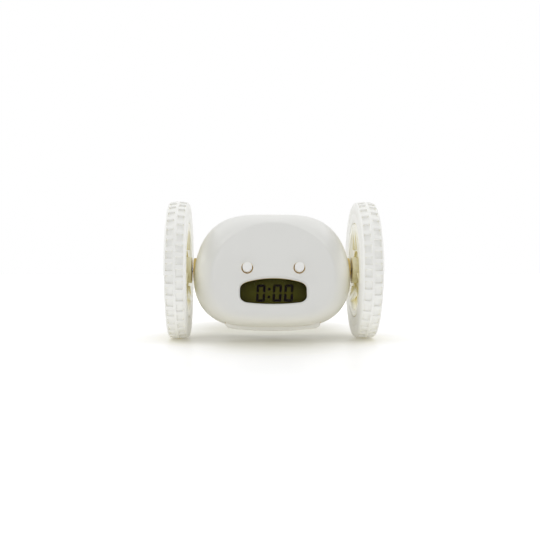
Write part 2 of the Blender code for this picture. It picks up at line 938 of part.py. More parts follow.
def through_hole(radius, start, end, place, segments=16):
    return drum("hole", radius, start, end, segments, place, turn=0.5 * math.pi / segments)


def elliptical_cutter(border, low, high):
    outline = ellipse(snooze_half_length + border, snooze_half_width + border, snooze_sides)
    return slab("snooze_hole", outline, low, high, top_frame())


rear_board_face = rear_board_y + rear_board_thickness
rear_cut_start = speaker_front + seat_gap


def inside_wall(item):
    """End a rib or post in the middle of the shell wall."""
    return boolean(item, body_solid("body", wall / 2.0), "INTERSECT")


front_shell = shell_half("front_shell", True)
rear_shell = shell_half("rear_shell", False)
front_parts = []
rear_parts = []
for side in (-1, 1):
    for x, height in (upper_screw, lower_screw):
        place = rear_frame(side * x, height)
        post = drum("post", front_post_radius, -cutter_reach, -parting_gap / 2.0, 8, place)
        front_parts.append(inside_wall(post))
        post = drum("post", rear_post_radius, parting_gap / 2.0, cutter_reach, 8, place)
        rear_parts.append(inside_wall(post))
    rib_end = rib_start + rib_thickness
    near, far = sorted((side * rib_start, side * rib_end))
    for low, high, items in ((-rib_far_y, -rib_near_y, front_parts), (rib_near_y, rib_far_y, rear_parts)):
        rib = block("rib", (near, low, axle_height + body_bottom),
                    (far, high, axle_height + deck_top - deck_thickness - seat_gap))
        items.append(inside_wall(rib))
    for up in (board_low + board_post_inset, board_high - board_post_inset):
        front_parts.append(drum("board_post", board_post_radius, -board_depth + seat_gap, -wall / 2.0, 6,
                                face_frame(side * board_post_x, up)))
    wall_y = surface_y(rear_post_x, rear_row_height, wall, False)
    rear_parts.append(drum("board_post", rear_board_post_radius, rear_board_face + seat_gap,
                           wall_y + wall / 2.0, 6, rear_frame(side * rear_post_x, rear_row_height)))
speaker_place = rear_frame(0.0, speaker_height)
display_place = face_frame(0.0, window_centre)
speaker_seat = tube("speaker_seat", speaker_radius - speaker_seat_lip, speaker_radius + speaker_seat_border,
                    speaker_front + seat_gap, cutter_reach, 14, speaker_place)
rear_parts.append(inside_wall(speaker_seat))
fuse(front_shell, *front_parts)
fuse(rear_shell, *rear_parts)

for shell in (front_shell, rear_shell):
    cut(shell, elliptical_cutter(moving_gap, snooze_skirt_low, cutter_reach))
    door_hole = rectangle(door_half_length + door_gap, door_half_width + door_gap)
    cut(shell, slab("door_hole", door_hole, -cutter_reach, deck_top - deck_thickness, top_frame()))
    for side in (-1, 1):
        cut(shell, through_hole(bush_radius + seat_gap, bush_flange_end, cutter_reach, side_frame(side)))
inner_window = window_outline(0.0)
cut(front_shell, slab("window_hole", inner_window, -window_chamfer - face_dish, wall, display_place,
                      end_outline=window_outline(window_chamfer + face_dish + wall)))
cut(front_shell, slab("window_hole", inner_window, -2.0 * wall, wall, display_place))
for side in (-1, 1):
    cut(front_shell, through_hole(eye_radius + button_gap, -2.0 * wall, wall,
                                  face_frame(side * eye_x, eye_height), 14))
    for x, height in (upper_screw, lower_screw):
        place = rear_frame(side * x, height)
        shank_hole = screw_shank_radius + seat_gap
        cut(rear_shell, through_hole(counterbore_radius, screw_seat_y - seat_gap, cutter_reach, place, 8))
        cut(rear_shell, through_hole(shank_hole, -wall, screw_seat_y, place, 6))
        cut(front_shell, through_hole(shank_hole, screw_front_end - screw_tip_room, wall, place, 6))
    cut(rear_shell, through_hole(rear_button_radius + moving_gap, rear_cut_start, cutter_reach,
                                 rear_frame(side * rear_button_x, rear_row_height), 12))
slot = rectangle(slider_half_length + slider_travel + moving_gap, slider_half_height + moving_gap)
cut(rear_shell, slab("slot", slot, rear_cut_start, cutter_reach, rear_frame(0.0, rear_row_height)))
grille_places = [(0.0, 0.0)]
grille_places += ellipse(grille_pitch, grille_pitch, grille_ring_count)
for x, up in grille_places:
    place = rear_frame(x, speaker_height + up)
    cut(rear_shell, through_hole(grille_hole_radius, rear_cut_start, cutter_reach, place, 6))
finish(front_shell, "front_shell", shell_plastic)
finish(rear_shell, "rear_shell", shell_plastic)

for side in (-1, 1):
    for level, (x, height) in (("upper", upper_screw), ("lower", lower_screw)):
        head_top = screw_seat_y + screw_head_height
        profile = ((screw_front_end, 0.0), (screw_front_end, screw_shank_radius),
                   (screw_seat_y, screw_shank_radius), (screw_seat_y, screw_head_radius),
                   (head_top, screw_head_radius), (head_top, 0.0))
        name = f"{names[side]}_{level}_screw"
        finish(turned(name, profile, 8, rear_frame(side * x, height)), name, steel)

# Snooze button, its board, switch and spring

snooze = elliptical_cutter(0.0, snooze_skirt_low, cutter_reach)
boolean(snooze, body_solid("body", 0.0), "INTERSECT")
skirt_outline = ellipse(snooze_half_length + snooze_skirt_border, snooze_half_width + snooze_skirt_border,
                        snooze_sides)
skirt = slab("skirt", skirt_outline, snooze_skirt_low, snooze_skirt_low + snooze_skirt_thickness,
             top_frame())
plunger_top = snooze_board_top + seat_gap + switch_body_height + plunger_height
fuse(snooze, skirt, drum("post", snooze_post_radius, plunger_top + snooze_travel + moving_gap,
                         snooze_skirt_low + snooze_skirt_thickness / 2.0, 10, top_frame()))
finish(snooze, "snooze_button", button_plastic, origin=axle_point + Vector((0.0, 0.0, snooze_skirt_low)))

snooze_board_low = snooze_board_top - board_thickness
snooze_board = slab("snooze_board", rectangle(snooze_board_half_length, snooze_board_half_width),
                    snooze_board_low, snooze_board_top, top_frame())
finish(snooze_board, "snooze_board", board_green)


def push_switch(name, place, start):
    """Square body with a round plunger, start is the board's face along the local Z axis."""
    half = switch_size / 2.0
    top = start + seat_gap + switch_body_height
    body = slab(name, rectangle(half, half), start + seat_gap, top, place)
    plunger = drum("plunger", plunger_radius, top - switch_body_height / 2.0, top + plunger_height, 10,
                   place)
    return fuse(body, plunger)


finish(push_switch("snooze_switch", top_frame(), snooze_board_top), "snooze_switch", dark_plastic)


def coil(name, radius, wire, turns, low, high, place):
    """A round-wire compression spring with four sides to its wire."""
    bm = bmesh.new()
    steps = turns * spring_steps_per_turn
    rings = []
    for step in range(steps + 1):
        angle = 2.0 * math.pi * step / spring_steps_per_turn
        along = low + wire + (high - low - 2.0 * wire) * step / steps
        ring = []
        for corner in range(4):
            around = math.pi / 2.0 * corner
            reach = radius + wire * math.cos(around)
            ring.append(bm.verts.new(place @ Vector((reach * math.cos(angle), reach * math.sin(angle),
                                                     along + wire * math.sin(around)))))
        rings.append(ring)
    for first, second in zip(rings, rings[1:]):
        for corner in range(4):
            after = (corner + 1) % 4
            bm.faces.new((first[corner], first[after], second[after], second[corner]))
    bm.faces.new(rings[0])
    bm.faces.new(rings[-1])
    return object_from(bm, name)


finish(coil("snooze_spring", spring_radius, spring_wire, spring_turns, snooze_board_top + seat_gap,
            snooze_skirt_low - seat_gap, top_frame()), "snooze_spring", steel, sharp_angle=60.0)

# Display: lens, glass, frame and contact strips

lens_back = -lens_setback - lens_thickness
lens = slab("display_window", window_outline(-moving_gap), lens_back, -lens_setback, display_place)
flange_front = -wall - face_dish - seat_gap
flange_back = flange_front - lens_flange_thickness
lens_flange = rectangle(window_width / 2.0 + lens_flange_border, window_height / 2.0 + lens_flange_rise)
fuse(lens, slab("flange", lens_flange, flange_back, flange_front, display_place),
     slab("step", window_outline(-2.0 * moving_gap), (flange_back + flange_front) / 2.0,
          (lens_back - lens_setback) / 2.0, display_place))
finish(lens, "display_window", window_plastic)

lcd_front = flange_back - seat_gap
lcd_back = lcd_front - lcd_thickness
finish(slab("lcd_panel", rectangle(lcd_width / 2.0, lcd_height / 2.0), lcd_back, lcd_front, display_place),
       "lcd_panel", lcd_glass)

frame_half_length = lcd_width / 2.0 + seat_gap
frame_half_height = lcd_height / 2.0 + seat_gap
frame_low = -board_depth + seat_gap
frame_front = flange_front - eye_flange_thickness - eye_travel - moving_gap
lcd_frame = slab("lcd_frame", rectangle(frame_half_length + frame_border, frame_half_height + frame_rise),
                 frame_low, frame_front, display_place)
cut(lcd_frame, slab("inside", rectangle(frame_half_length, frame_half_height), frame_low - frame_border,
                    frame_front + frame_border, display_place))
finish(lcd_frame, "lcd_frame", inner_plastic)

strip = rectangle(lcd_width / 2.0 - strip_inset, strip_half_width, lcd_height / 2.0 - strip_inset)
finish(slab("lcd_connector", strip, frame_low, lcd_back - seat_gap, display_place), "lcd_connector",
       connector_rubber)

board_centre = (board_low + board_high) / 2.0
board_half_height = (board_high - board_low) / 2.0
finish(slab("main_board", rectangle(board_half_width, board_half_height), -board_depth - board_thickness,
            -board_depth, face_frame(0.0, board_centre)), "main_board", board_green)

# Front buttons with their switches

for side in (-1, 1):
    place = face_frame(side * eye_x, eye_height)
    stem_end = -board_depth + seat_gap + switch_body_height + plunger_height + eye_travel + moving_gap
    profile = ((stem_end, 0.0), (stem_end, eye_stem_radius),
               (flange_front - eye_flange_thickness, eye_stem_radius),
               (flange_front - eye_flange_thickness, eye_flange_radius),
               (flange_front, eye_flange_radius), (flange_front, eye_radius),
               (eye_proud - edge_break, eye_radius), (eye_proud, eye_radius - edge_break), (eye_proud, 0.0))
    name = names[side] + "_eye_button"
    finish(turned(name, profile, 14, place), name, button_plastic, origin=place.translation)
    name = names[side] + "_eye_switch"
    finish(push_switch(name, place, -board_depth), name, dark_plastic)

# Chassis, batteries and their contacts

deck_low = deck_top - deck_thickness
chassis = slab("chassis", rectangle(deck_half_length, deck_half_width), deck_low, deck_top, top_frame())
tab_half_length = (deck_overlap + deck_thickness) / 2.0
tab_half_width = (deck_half_width - rib_near_y) / 2.0
tab_x = deck_half_length + deck_overlap - tab_half_length
tab_y = rib_near_y + tab_half_width
for x in (-tab_x, tab_x):
    for y in (-tab_y, tab_y):
        tab = rectangle(tab_half_length, tab_half_width)
        fuse(chassis, slab("tab", tab, deck_low, deck_top, top_frame(x, y)))
output_centre, second_centre, first_centre, motor_centre = gear_centres()
motor_low = motor_centre.y - motor_radius
case_top = deck_top - deck_thickness / 2.0
fuse(chassis, slab("pillar", rectangle(pillar_half_length, pillar_half_width), case_top,
                   snooze_board_low - seat_gap, top_frame()))
case_profile = [*case_outline, (case_outline[-1][0], case_top), (case_outline[0][0], case_top)]
plate_circles = [(0.0, 0.0, plate_axle_margin)]
plate_circles += [(point.x, point.y, plate_pin_margin) for point in (second_centre, first_centre)]
plate_circles += [(y, height, plate_leg_margin) for y, height in leg_places]
motor_circle = (motor_centre.x, motor_centre.y, motor_radius)
trains = ((output_centre, output_teeth), (second_centre, second_teeth), (first_centre, first_teeth))
gear_circles = [(point.x, point.y, gear_module * (teeth / 2.0 + tooth_height)) for point, teeth in trains]


def room_outline(circles):
    return hull_of_circles([(y, height, radius + moving_gap) for y, height, radius in circles])


for side in (-1, 1):
    fuse(chassis, slab("case_wall", side_outline(side, case_profile), case_wall_start,
                       case_wall_start + case_wall_thickness, side_frame(side)))
    for x in cradle_places:
        cradle = rectangle(cradle_half_length, cradle_half_width)
        fuse(chassis, slab("cradle", cradle, case_top, motor_low - seat_gap,
                           top_frame(side * x, motor_centre.x)))
    along = side_frame(side)
    cut(chassis, slab("room", side_outline(side, room_outline([*plate_circles, motor_circle])),
                      inner_plate_start - cradle_plate_gap, cutter_reach, along),
        slab("room", side_outline(side, room_outline(gear_circles)), first_plane - moving_gap,
             cutter_reach, along))
finish(chassis, "chassis", inner_plastic)

contact_back = case_wall_start - seat_gap
contact_front = contact_back - contact_thickness
contacts = {}
for side in (-1, 1):
    contacts[side] = slab("contact", side_outline(side, contact_profile), contact_front, contact_back,
                          side_frame(side))
for index, (y, height) in enumerate(cell_places):
    side = 1 if index % 2 == 0 else -1
    half = cell_length / 2.0
    profile = ((-half, 0.0), (-half, cell_radius), (half - cell_cap_length, cell_radius),
               (half - cell_cap_length, cell_cap_radius), (half, cell_cap_radius), (half, 0.0))
    name = f"battery_{index + 1}"
    finish(turned(name, profile, 12, side_frame(side, y, height)), name, cell_jacket)
    tip = half + seat_gap
    root = contact_front + contact_thickness / 2.0
    fuse(contacts[side], drum("dimple", cell_cap_radius, tip, root, 8, side_frame(side, y, height)))
    profile = ((tip, 0.0), (tip, contact_spring_tip_radius), (root, contact_spring_radius), (root, 0.0))
    fuse(contacts[-side], turned("cone", profile, 8, side_frame(-side, y, height)))
for side in (-1, 1):
    name = names[side] + "_battery_contact"
    finish(contacts[side], name, steel)

# Battery door, its underside is bowed along X and its ends slope inward

door_top = deck_top - 2.0 * deck_thickness
door_outline = [(door_half_length, door_top), (-door_half_length, door_top),
                (-door_half_length, door_end_height)]
for step in range(door_bow_steps + 1):
    share = 2.0 * step / door_bow_steps - 1.0
    door_outline.append((share * (door_half_length - door_end_slope), door_low + door_bow * share * share))
door_outline.append((door_half_length, door_end_height))
door_place = Matrix.Translation(axle_point) @ Matrix.Rotation(math.pi / 2.0, 4, "X")
door = slab("battery_door", door_outline, -door_half_width, door_half_width, door_place)
boolean(door, body_solid("body", door_inner_wall), "DIFFERENCE")
nub = ellipse(nub_half_length, nub_half_width, 12)
nub_tip = ellipse(nub_half_length - nub_edge_slope, nub_half_width - nub_edge_slope, 12)
fuse(door, slab("nub", nub_tip, door_low - nub_height, door_low + nub_height / 2.0, top_frame(y=nub_y),
                end_outline=nub))
finish(door, "battery_door", shell_plastic, origin=axle_point + Vector((0.0, 0.0, door_low)))

# Speaker and rear controls

profile = ((speaker_front, 0.0), (speaker_front, speaker_radius),
           (speaker_front - speaker_rim_thickness, speaker_radius),
           (speaker_front - speaker_cone_depth, speaker_cone_radius),
           (speaker_front - speaker_magnet_start, speaker_magnet_radius),
           (speaker_front - speaker_depth, speaker_magnet_radius), (speaker_front - speaker_depth, 0.0))
finish(turned("speaker", profile, 16, speaker_place), "speaker", dark_plastic)

rear_place = rear_frame(0.0, rear_row_height)
finish(slab("rear_board", rectangle(rear_board_half_length, rear_board_half_height), rear_board_y,
            rear_board_y + rear_board_thickness, rear_place), "rear_board", board_green)
for side in (-1, 1):
    place = rear_frame(side * rear_button_x, rear_row_height)
    surface = surface_y(rear_button_x, rear_row_height, 0.0, False)
    low = rear_board_face + rear_button_travel + seat_gap
    high = low + rear_stem_length
    proud = surface + rear_button_proud
    flange = rear_button_radius + rear_flange_border
    profile = ((low, 0.0), (low, rear_stem_radius), (high, rear_stem_radius), (high, flange),
               (high + rear_flange_thickness, flange), (high + rear_flange_thickness, rear_button_radius),
               (proud - edge_break, rear_button_radius), (proud, rear_button_radius - edge_break),
               (proud, 0.0))
    name = names[side] + "_rear_button"
    finish(turned(name, profile, 12, place), name, button_plastic,
           origin=place @ Vector((0.0, 0.0, surface)))

slider_surface = surface_y(0.0, rear_row_height, 0.0, False)
slider_low = rear_board_face + seat_gap
slider = slab("alarm_switch", rectangle(slider_half_length, slider_half_height), slider_low,
              slider_surface + slider_proud, rear_place)
fuse(slider, slab("skirt", rectangle(slider_skirt_half_length, slider_skirt_half_height), slider_low,
                  slider_low + slider_skirt_thickness, rear_place))
finish(slider, "alarm_switch", dark_plastic, origin=rear_place @ Vector((0.0, 0.0, slider_surface)))

# Wheels, axles and gear trains

wheel_turns, pinion_turns = mesh_turns()
output_turn, second_turn, first_turn = wheel_turns
second_pinion_turn, first_pinion_turn, motor_pinion_turn = pinion_turns
second_plane = first_plane + gear_step
output_plane = second_plane + gear_step
outer_plate_start = output_plane + gear_width + 2.0 * seat_gap

for side in (-1, 1):
    prefix = names[side] + "_"
    spin_point = axle_point + Vector((side * wheel_centre_x, 0.0, 0.0))
    finish(tyre(prefix + "tyre", side), prefix + "tyre", tyre_rubber, origin=spin_point)
    finish(rim(prefix + "wheel_rim", side), prefix + "wheel_rim", rim_plastic, origin=spin_point)
    along = side_frame(side)
    hub_end = wheel_centre_x + hub_outer_reach
    axle_end = hub_end - seat_gap
    axle = drum(prefix + "axle", axle_radius, axle_inner_end, axle_end, 14, along)
    cut(axle, drum("bore", wheel_screw_radius + seat_gap, axle_end - wheel_screw_length,
                   axle_end + wheel_screw_length, 8, along))
    finish(axle, prefix + "axle", steel, origin=spin_point)
    screw_seat = hub_end + seat_gap
    screw_tip = axle_end - wheel_screw_length + screw_tip_room
    screw_top = screw_seat + wheel_screw_head_height
    profile = ((screw_tip, 0.0), (screw_tip, wheel_screw_radius), (screw_seat, wheel_screw_radius),
               (screw_seat, wheel_screw_head_radius), (screw_top - edge_break, wheel_screw_head_radius),
               (screw_top, wheel_screw_head_radius - 2.0 * edge_break), (screw_top, 0.0))
    screw = turned(prefix + "wheel_screw", profile, 12, along)
    finish(screw, prefix + "wheel_screw", steel, origin=spin_point)
    bore = axle_radius + bore_gap
    profile = ((bush_flange_start, bore), (bush_flange_start, bush_flange_radius),
               (bush_flange_end, bush_flange_radius), (bush_flange_end, bush_radius),
               (bush_outer_end, bush_radius), (bush_outer_end, bore))
    bush = turned(prefix + "axle_bush", profile, 16, along, closed=True)
    finish(bush, prefix + "axle_bush", button_plastic)

    finish(gear(prefix + "output_gear", output_teeth, output_turn, output_plane, side, output_centre,
                axle_radius + bore_gap), prefix + "output_gear", gear_plastic, origin=spin_point)
    item = gear(prefix + "second_gear", second_teeth, second_turn, second_plane, side, second_centre,
                pin_radius + bore_gap, pinion_turn=second_pinion_turn)
    centre = side_frame(side, second_centre.x, second_centre.y)
    finish(item, prefix + "second_gear", gear_plastic, origin=centre @ Vector((0.0, 0.0, second_plane)))
    item = gear(prefix + "first_gear", first_teeth, first_turn, first_plane, side, first_centre,
                pin_radius + bore_gap, pinion_turn=first_pinion_turn)
    centre = side_frame(side, first_centre.x, first_centre.y)
    finish(item, prefix + "first_gear", gear_plastic, origin=centre @ Vector((0.0, 0.0, first_plane)))
    centre = side_frame(side, motor_centre.x, motor_centre.y)
    outline = side_outline(side, gear_outline(pinion_teeth, motor_pinion_turn))
    pinion = slab("pinion", outline, first_plane, first_plane + gear_width, centre)
    fuse(pinion, drum("shaft", motor_shaft_radius, motor_shaft_start, first_plane + gear_width / 2.0, 8,
                      centre))
    finish(pinion, prefix + "motor_pinion", brass, origin=centre @ Vector((0.0, 0.0, first_plane)))

    profile = ((motor_back, 0.0), (motor_back, motor_radius - motor_edge),
               (motor_back + motor_edge, motor_radius),
               (motor_front, motor_radius), (motor_front, motor_boss_radius),
               (motor_front + motor_boss_length, motor_boss_radius), (motor_front + motor_boss_length, 0.0))
    motor = turned(prefix + "motor", profile, 14, centre)
    cut(motor, drum("bore", motor_shaft_radius + bore_gap, motor_shaft_start - seat_gap,
                    motor_front + 2.0 * motor_boss_length, 8, centre))
    finish(motor, prefix + "motor", steel)

    outer_plate_outline = hull_of_circles(plate_circles)
    inner_plate_outline = hull_of_circles([*plate_circles, motor_circle])
    inner_plate = slab("plate", side_outline(side, inner_plate_outline), inner_plate_start,
                       inner_plate_start + plate_thickness, along)
    outer_plate_end = outer_plate_start + plate_thickness
    outer_plate = slab("plate", side_outline(side, outer_plate_outline), outer_plate_start, outer_plate_end,
                       along)
    for y, height in leg_places:
        leg = drum("leg", leg_radius, inner_plate_start + plate_thickness / 2.0, outer_plate_end, 8,
                   side_frame(side, y, height))
        fuse(inner_plate, leg)
    holes = (
        (output_centre, axle_radius + bore_gap, (inner_plate, outer_plate)),
        (second_centre, pin_radius + seat_gap, (inner_plate, outer_plate)),
        (first_centre, pin_radius + seat_gap, (inner_plate, outer_plate)),
        (motor_centre, motor_boss_radius + seat_gap, (inner_plate,)),
    )
    for point, radius, plates_cut in holes:
        for plate in plates_cut:
            cut(plate, drum("hole", radius, motor_shaft_start, cutter_reach, 8,
                            side_frame(side, point.x, point.y)))
    for y, height in leg_places:
        cut(outer_plate, drum("hole", leg_radius + seat_gap, outer_plate_start - gear_width,
                              outer_plate_start + gear_width, 8, side_frame(side, y, height)))
    finish(inner_plate, prefix + "gearbox_inner_plate", inner_plastic)
    finish(outer_plate, prefix + "gearbox_outer_plate", inner_plastic)
    for name, point in (("second_pin", second_centre), ("first_pin", first_centre)):
        pin = drum("pin", pin_radius, inner_plate_start, outer_plate_end, 8,
                   side_frame(side, point.x, point.y))
        finish(pin, prefix + name, steel)

total = 0
for item in bpy.data.objects:
    count = sum(len(polygon.vertices) - 2 for polygon in item.data.polygons)
    total += count
    print(f"{item.name}: {count} triangles")
print(f"{len(bpy.data.objects)} pieces, {total} triangles")
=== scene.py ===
import math

import bmesh
import bpy
from mathutils import Matrix, Vector


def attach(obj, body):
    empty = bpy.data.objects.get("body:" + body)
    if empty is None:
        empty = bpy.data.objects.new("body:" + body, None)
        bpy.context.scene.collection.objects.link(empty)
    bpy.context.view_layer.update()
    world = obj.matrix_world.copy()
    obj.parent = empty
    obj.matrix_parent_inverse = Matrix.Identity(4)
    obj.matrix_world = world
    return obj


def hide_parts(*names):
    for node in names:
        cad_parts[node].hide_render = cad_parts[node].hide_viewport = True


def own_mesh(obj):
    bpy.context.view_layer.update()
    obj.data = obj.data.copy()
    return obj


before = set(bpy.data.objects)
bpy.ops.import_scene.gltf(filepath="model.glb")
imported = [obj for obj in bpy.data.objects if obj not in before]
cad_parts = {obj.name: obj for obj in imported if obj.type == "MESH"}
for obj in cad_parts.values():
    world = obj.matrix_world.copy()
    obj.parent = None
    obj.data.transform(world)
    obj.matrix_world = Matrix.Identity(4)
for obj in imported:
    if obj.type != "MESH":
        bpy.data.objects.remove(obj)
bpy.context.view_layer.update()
print("frame loaded:", len(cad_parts), "nodes")

# sizes are millimetres from the middle of the axle line: x right, y back, h up
fit = {
    "axleHeight": 44.4836,
    "moving": 0.3,  # gap round a moving piece
}
names = {-1: "left", 1: "right"}
origin = (0.0, 0.0, 0.0)
white = (1.0, 1.0, 1.0, 1.0)
halfTurn = math.pi
quarterTurn, fullTurn = halfTurn / 2.0, 2.0 * halfTurn
millimetre = 0.001


# modelling helpers

def toWorld(point):
    x, y, h = point
    return (x * millimetre, y * millimetre, (h + fit["axleHeight"]) * millimetre)


def addObject(name, data):
    item = bpy.data.objects.new(name, data)
    bpy.context.scene.collection.objects.link(item)
    return item


def drop(item):
    bpy.data.objects.remove(item, do_unlink=True)


def tidyMesh(mesh, merge=0.0):
    bm = bmesh.new()
    bm.from_mesh(mesh)
    if merge:
        bmesh.ops.remove_doubles(bm, verts=bm.verts, dist=merge * millimetre)
    bmesh.ops.recalc_face_normals(bm, faces=bm.faces)
    bm.to_mesh(mesh)
    bm.free()


def objectFrom(name, points, faces):
    mesh = bpy.data.meshes.new(name)
    mesh.from_pydata([toWorld(point) for point in points], [], faces)
    tidyMesh(mesh)
    return addObject(name, mesh)


def loft(name, rings, spot=None, closed=False):  # rings of equal length, or single points at the ends
    points, starts, faces = [], [], []
    for ring in rings:
        starts.append(len(points))
        points += [tuple(spot @ Vector(p)) if spot else tuple(p) for p in ring]
    count = max(len(ring) for ring in rings)
    pairs = list(zip(range(len(rings)), range(1, len(rings))))
    if closed:
        pairs.append((len(rings) - 1, 0))
    for first, second in pairs:
        a, b = len(rings[first]), len(rings[second])
        for i in range(count):
            j = (i + 1) % count
            corners = [starts[first] + i % a, starts[first] + j % a,
                       starts[second] + j % b, starts[second] + i % b]
            corners = list(dict.fromkeys(corners))
            if len(corners) > 2:
                faces.append(corners)
    if not closed:
        for index in (0, len(rings) - 1):
            if len(rings[index]) > 2:
                faces.append(list(range(starts[index], starts[index] + len(rings[index]))))
    return objectFrom(name, points, faces)


def circle(radius, count):
    angles = [fullTurn * i / count for i in range(count)]
    return [(radius * math.cos(a), radius * math.sin(a)) for a in angles]


def rounded(profile, closed=False, steps=3):  # (along, radius, corner) triples to a softened line
    line = []
    count = len(profile)
    for i, (a, r, corner) in enumerate(profile):
        here = Vector((a, r))
        if corner <= 0.0 or (not closed and i in (0, count - 1)):
            line.append((a, r))
            continue
        before = Vector(profile[i - 1][:2]) - here
        after = Vector(profile[(i + 1) % count][:2]) - here
        reach = min(corner, before.length * 0.49, after.length * 0.49)  # neighbours keep a bit of the edge
        start = here + before.normalized() * reach
        end = here + after.normalized() * reach
        for step in range(steps + 1):
            t = step / steps
            p = start * (1 - t) ** 2 + here * 2 * t * (1 - t) + end * t ** 2
            line.append((p.x, p.y))
    return line


def lathe(name, profile, segments, spot, closed=False, steps=3):
    rings = [[(u, v, along) for u, v in circle(radius, segments)] if radius >= 1e-6 else [(0.0, 0.0, along)]
             for along, radius in rounded(profile, closed, steps)]
    return loft(name, rings, spot, closed)


def slab(name, sections, spot):  # sections are (outline, along) pairs
    return loft(name, [[(u, v, along) for u, v in outline] for outline, along in sections], spot)


def roundedBox(halfU, halfV, corner, steps=4):
    outline = []
    for start, (signU, signV) in enumerate(((1, 1), (-1, 1), (-1, -1), (1, -1))):
        for step in range(steps + 1):
            a = quarterTurn * (start + step / steps)
            outline.append((signU * (halfU - corner) + corner * math.cos(a),
                            signV * (halfV - corner) + corner * math.sin(a)))
    return outline


def bake(item):  # keeps the mesh that the modifiers make
    graph = bpy.context.evaluated_depsgraph_get()
    mesh = bpy.data.meshes.new_from_object(item.evaluated_get(graph))
    item.modifiers.clear()
    item.data = mesh
    return item


def carve(target, *tools, operation="DIFFERENCE"):
    for tool in tools:
        modifier = target.modifiers.new("shape", "BOOLEAN")
        modifier.operation = operation
        modifier.solver = "EXACT"
        modifier.object = tool
        bake(target)
        drop(tool)
    return target


def join(target, *others):  # closed parts of one moulded piece
    bm = bmesh.new()
    bm.from_mesh(target.data)
    for other in others:
        bm.from_mesh(other.data)
        drop(other)
    bm.to_mesh(target.data)
    bm.free()
    return target


def soften(target, width, segments, angle):  # small moulded radius on the sharp edges
    modifier = target.modifiers.new("edge", "BEVEL")
    modifier.width = width * millimetre
    modifier.segments = segments
    modifier.limit_method = "ANGLE"
    modifier.angle_limit = math.radians(angle)
    modifier.use_clamp_overlap = True
    return bake(target)


def place(item, name, body, label, nodes=(), slotName="", angle=32.0):  # names, paints and hangs a piece
    item.name = name
    item.data.name = name
    item.data.materials.clear()
    item.data.materials.append(finishes[label])
    item.data.shade_smooth()
    item.data.set_sharp_from_angle(angle=math.radians(angle))
    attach(item, body)
    if nodes:
        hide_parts(*nodes)
    return item


# frames in millimetres: local z leaves the named surface

def columns(x, y, z, start):
    return Matrix.Translation(start) @ Matrix((x, y, z)).transposed().to_4x4()


def sideFrame(side, along=0.0):
    return columns((0, 1, 0), (0, 0, side), (side, 0, 0), (side * along, 0.0, 0.0))


def rearFrame(x=0.0, h=0.0):
    return columns((-1, 0, 0), (0, 0, 1), (0, 1, 0), (x, 0, h))


def topFrame(y=0.0):
    return Matrix.Translation((0.0, y, 0.0))


def centred(item, point):  # brings that point to the origin, about which a tree turns or repeats its copy
    item.data.transform(Matrix.Translation(-Vector(toWorld(point))))
    return item


# nodes: each input takes a constant or another node's socket

def feed(tree, node, inputs):
    for key, value in inputs.items():
        if isinstance(value, bpy.types.NodeSocket):
            tree.links.new(value, node.inputs[key])
        else:
            node.inputs[key].default_value = value
    return node


def put(tree, kind, inputs=None, **settings):
    node = tree.nodes.new(kind)
    for key, value in settings.items():
        setattr(node, key, value)
    return feed(tree, node, inputs or {})


def reckon(tree, operation, first, second):
    return put(tree, "ShaderNodeMath", {0: first, 1: second}, operation=operation).outputs[0]


# node trees that repeat a modelled copy

def openTree(name, extra):
    tree = bpy.data.node_groups.new(name, "GeometryNodeTree")
    for label, kind in (("Copy", "Object"), *extra, ("Finish", "Material")):
        tree.interface.new_socket(label, in_out="INPUT", socket_type="NodeSocket" + kind)
    tree.interface.new_socket("Geometry", in_out="OUTPUT", socket_type="NodeSocketGeometry")
    return tree, tree.nodes.new("NodeGroupInput").outputs


def closeTree(tree, given, points, turn=None):  # stands the copies, makes them real and gives them a finish
    copy = put(tree, "GeometryNodeObjectInfo", {"Object": given["Copy"]}).outputs["Geometry"]
    stand = put(tree, "GeometryNodeInstanceOnPoints", {"Points": points, "Instance": copy})
    if turn is not None:
        feed(tree, stand, {"Rotation": turn})
    real = put(tree, "GeometryNodeRealizeInstances", {"Geometry": stand.outputs["Instances"]})
    paint = put(tree, "GeometryNodeSetMaterial", {"Geometry": real.outputs["Geometry"],
                                                  "Material": given["Finish"]})
    put(tree, "NodeGroupOutput", {"Geometry": paint.outputs["Geometry"]})
    return tree


def ringTree():  # Count copies turned evenly about Axis through the origin
    tree, given = openTree("copiesInARing", (("Count", "Int"), ("Axis", "Vector")))
    spots = put(tree, "GeometryNodePoints", {"Count": given["Count"]})
    index = put(tree, "GeometryNodeInputIndex").outputs["Index"]
    angle = reckon(tree, "MULTIPLY", reckon(tree, "DIVIDE", index, given["Count"]), fullTurn)
    turn = put(tree, "FunctionNodeAxisAngleToRotation", {"Axis": given["Axis"], "Angle": angle})
    return closeTree(tree, given, spots.outputs["Points"], turn.outputs["Rotation"])


def rowTree():  # Count copies along Step, centred on the origin
    tree, given = openTree("copiesInARow", (("Count", "Int"), ("Step", "Vector")))
    spots = put(tree, "GeometryNodePoints", {"Count": given["Count"]})
    index = put(tree, "GeometryNodeInputIndex").outputs["Index"]
    half = reckon(tree, "MULTIPLY", reckon(tree, "SUBTRACT", given["Count"], 1.0), 0.5)
    offset = put(tree, "ShaderNodeVectorMath", {0: given["Step"], "Scale": reckon(tree, "SUBTRACT", index, half)},
                 operation="SCALE")
    move = put(tree, "GeometryNodeSetPosition", {"Geometry": spots.outputs["Points"],
                                                 "Offset": offset.outputs["Vector"]})
    return closeTree(tree, given, move.outputs["Geometry"])


def spotTree():  # one copy on every point of Spots
    tree, given = openTree("copiesOnSpots", (("Spots", "Object"),))
    spots = put(tree, "GeometryNodeObjectInfo", {"Object": given["Spots"]})
    return closeTree(tree, given, spots.outputs["Geometry"])


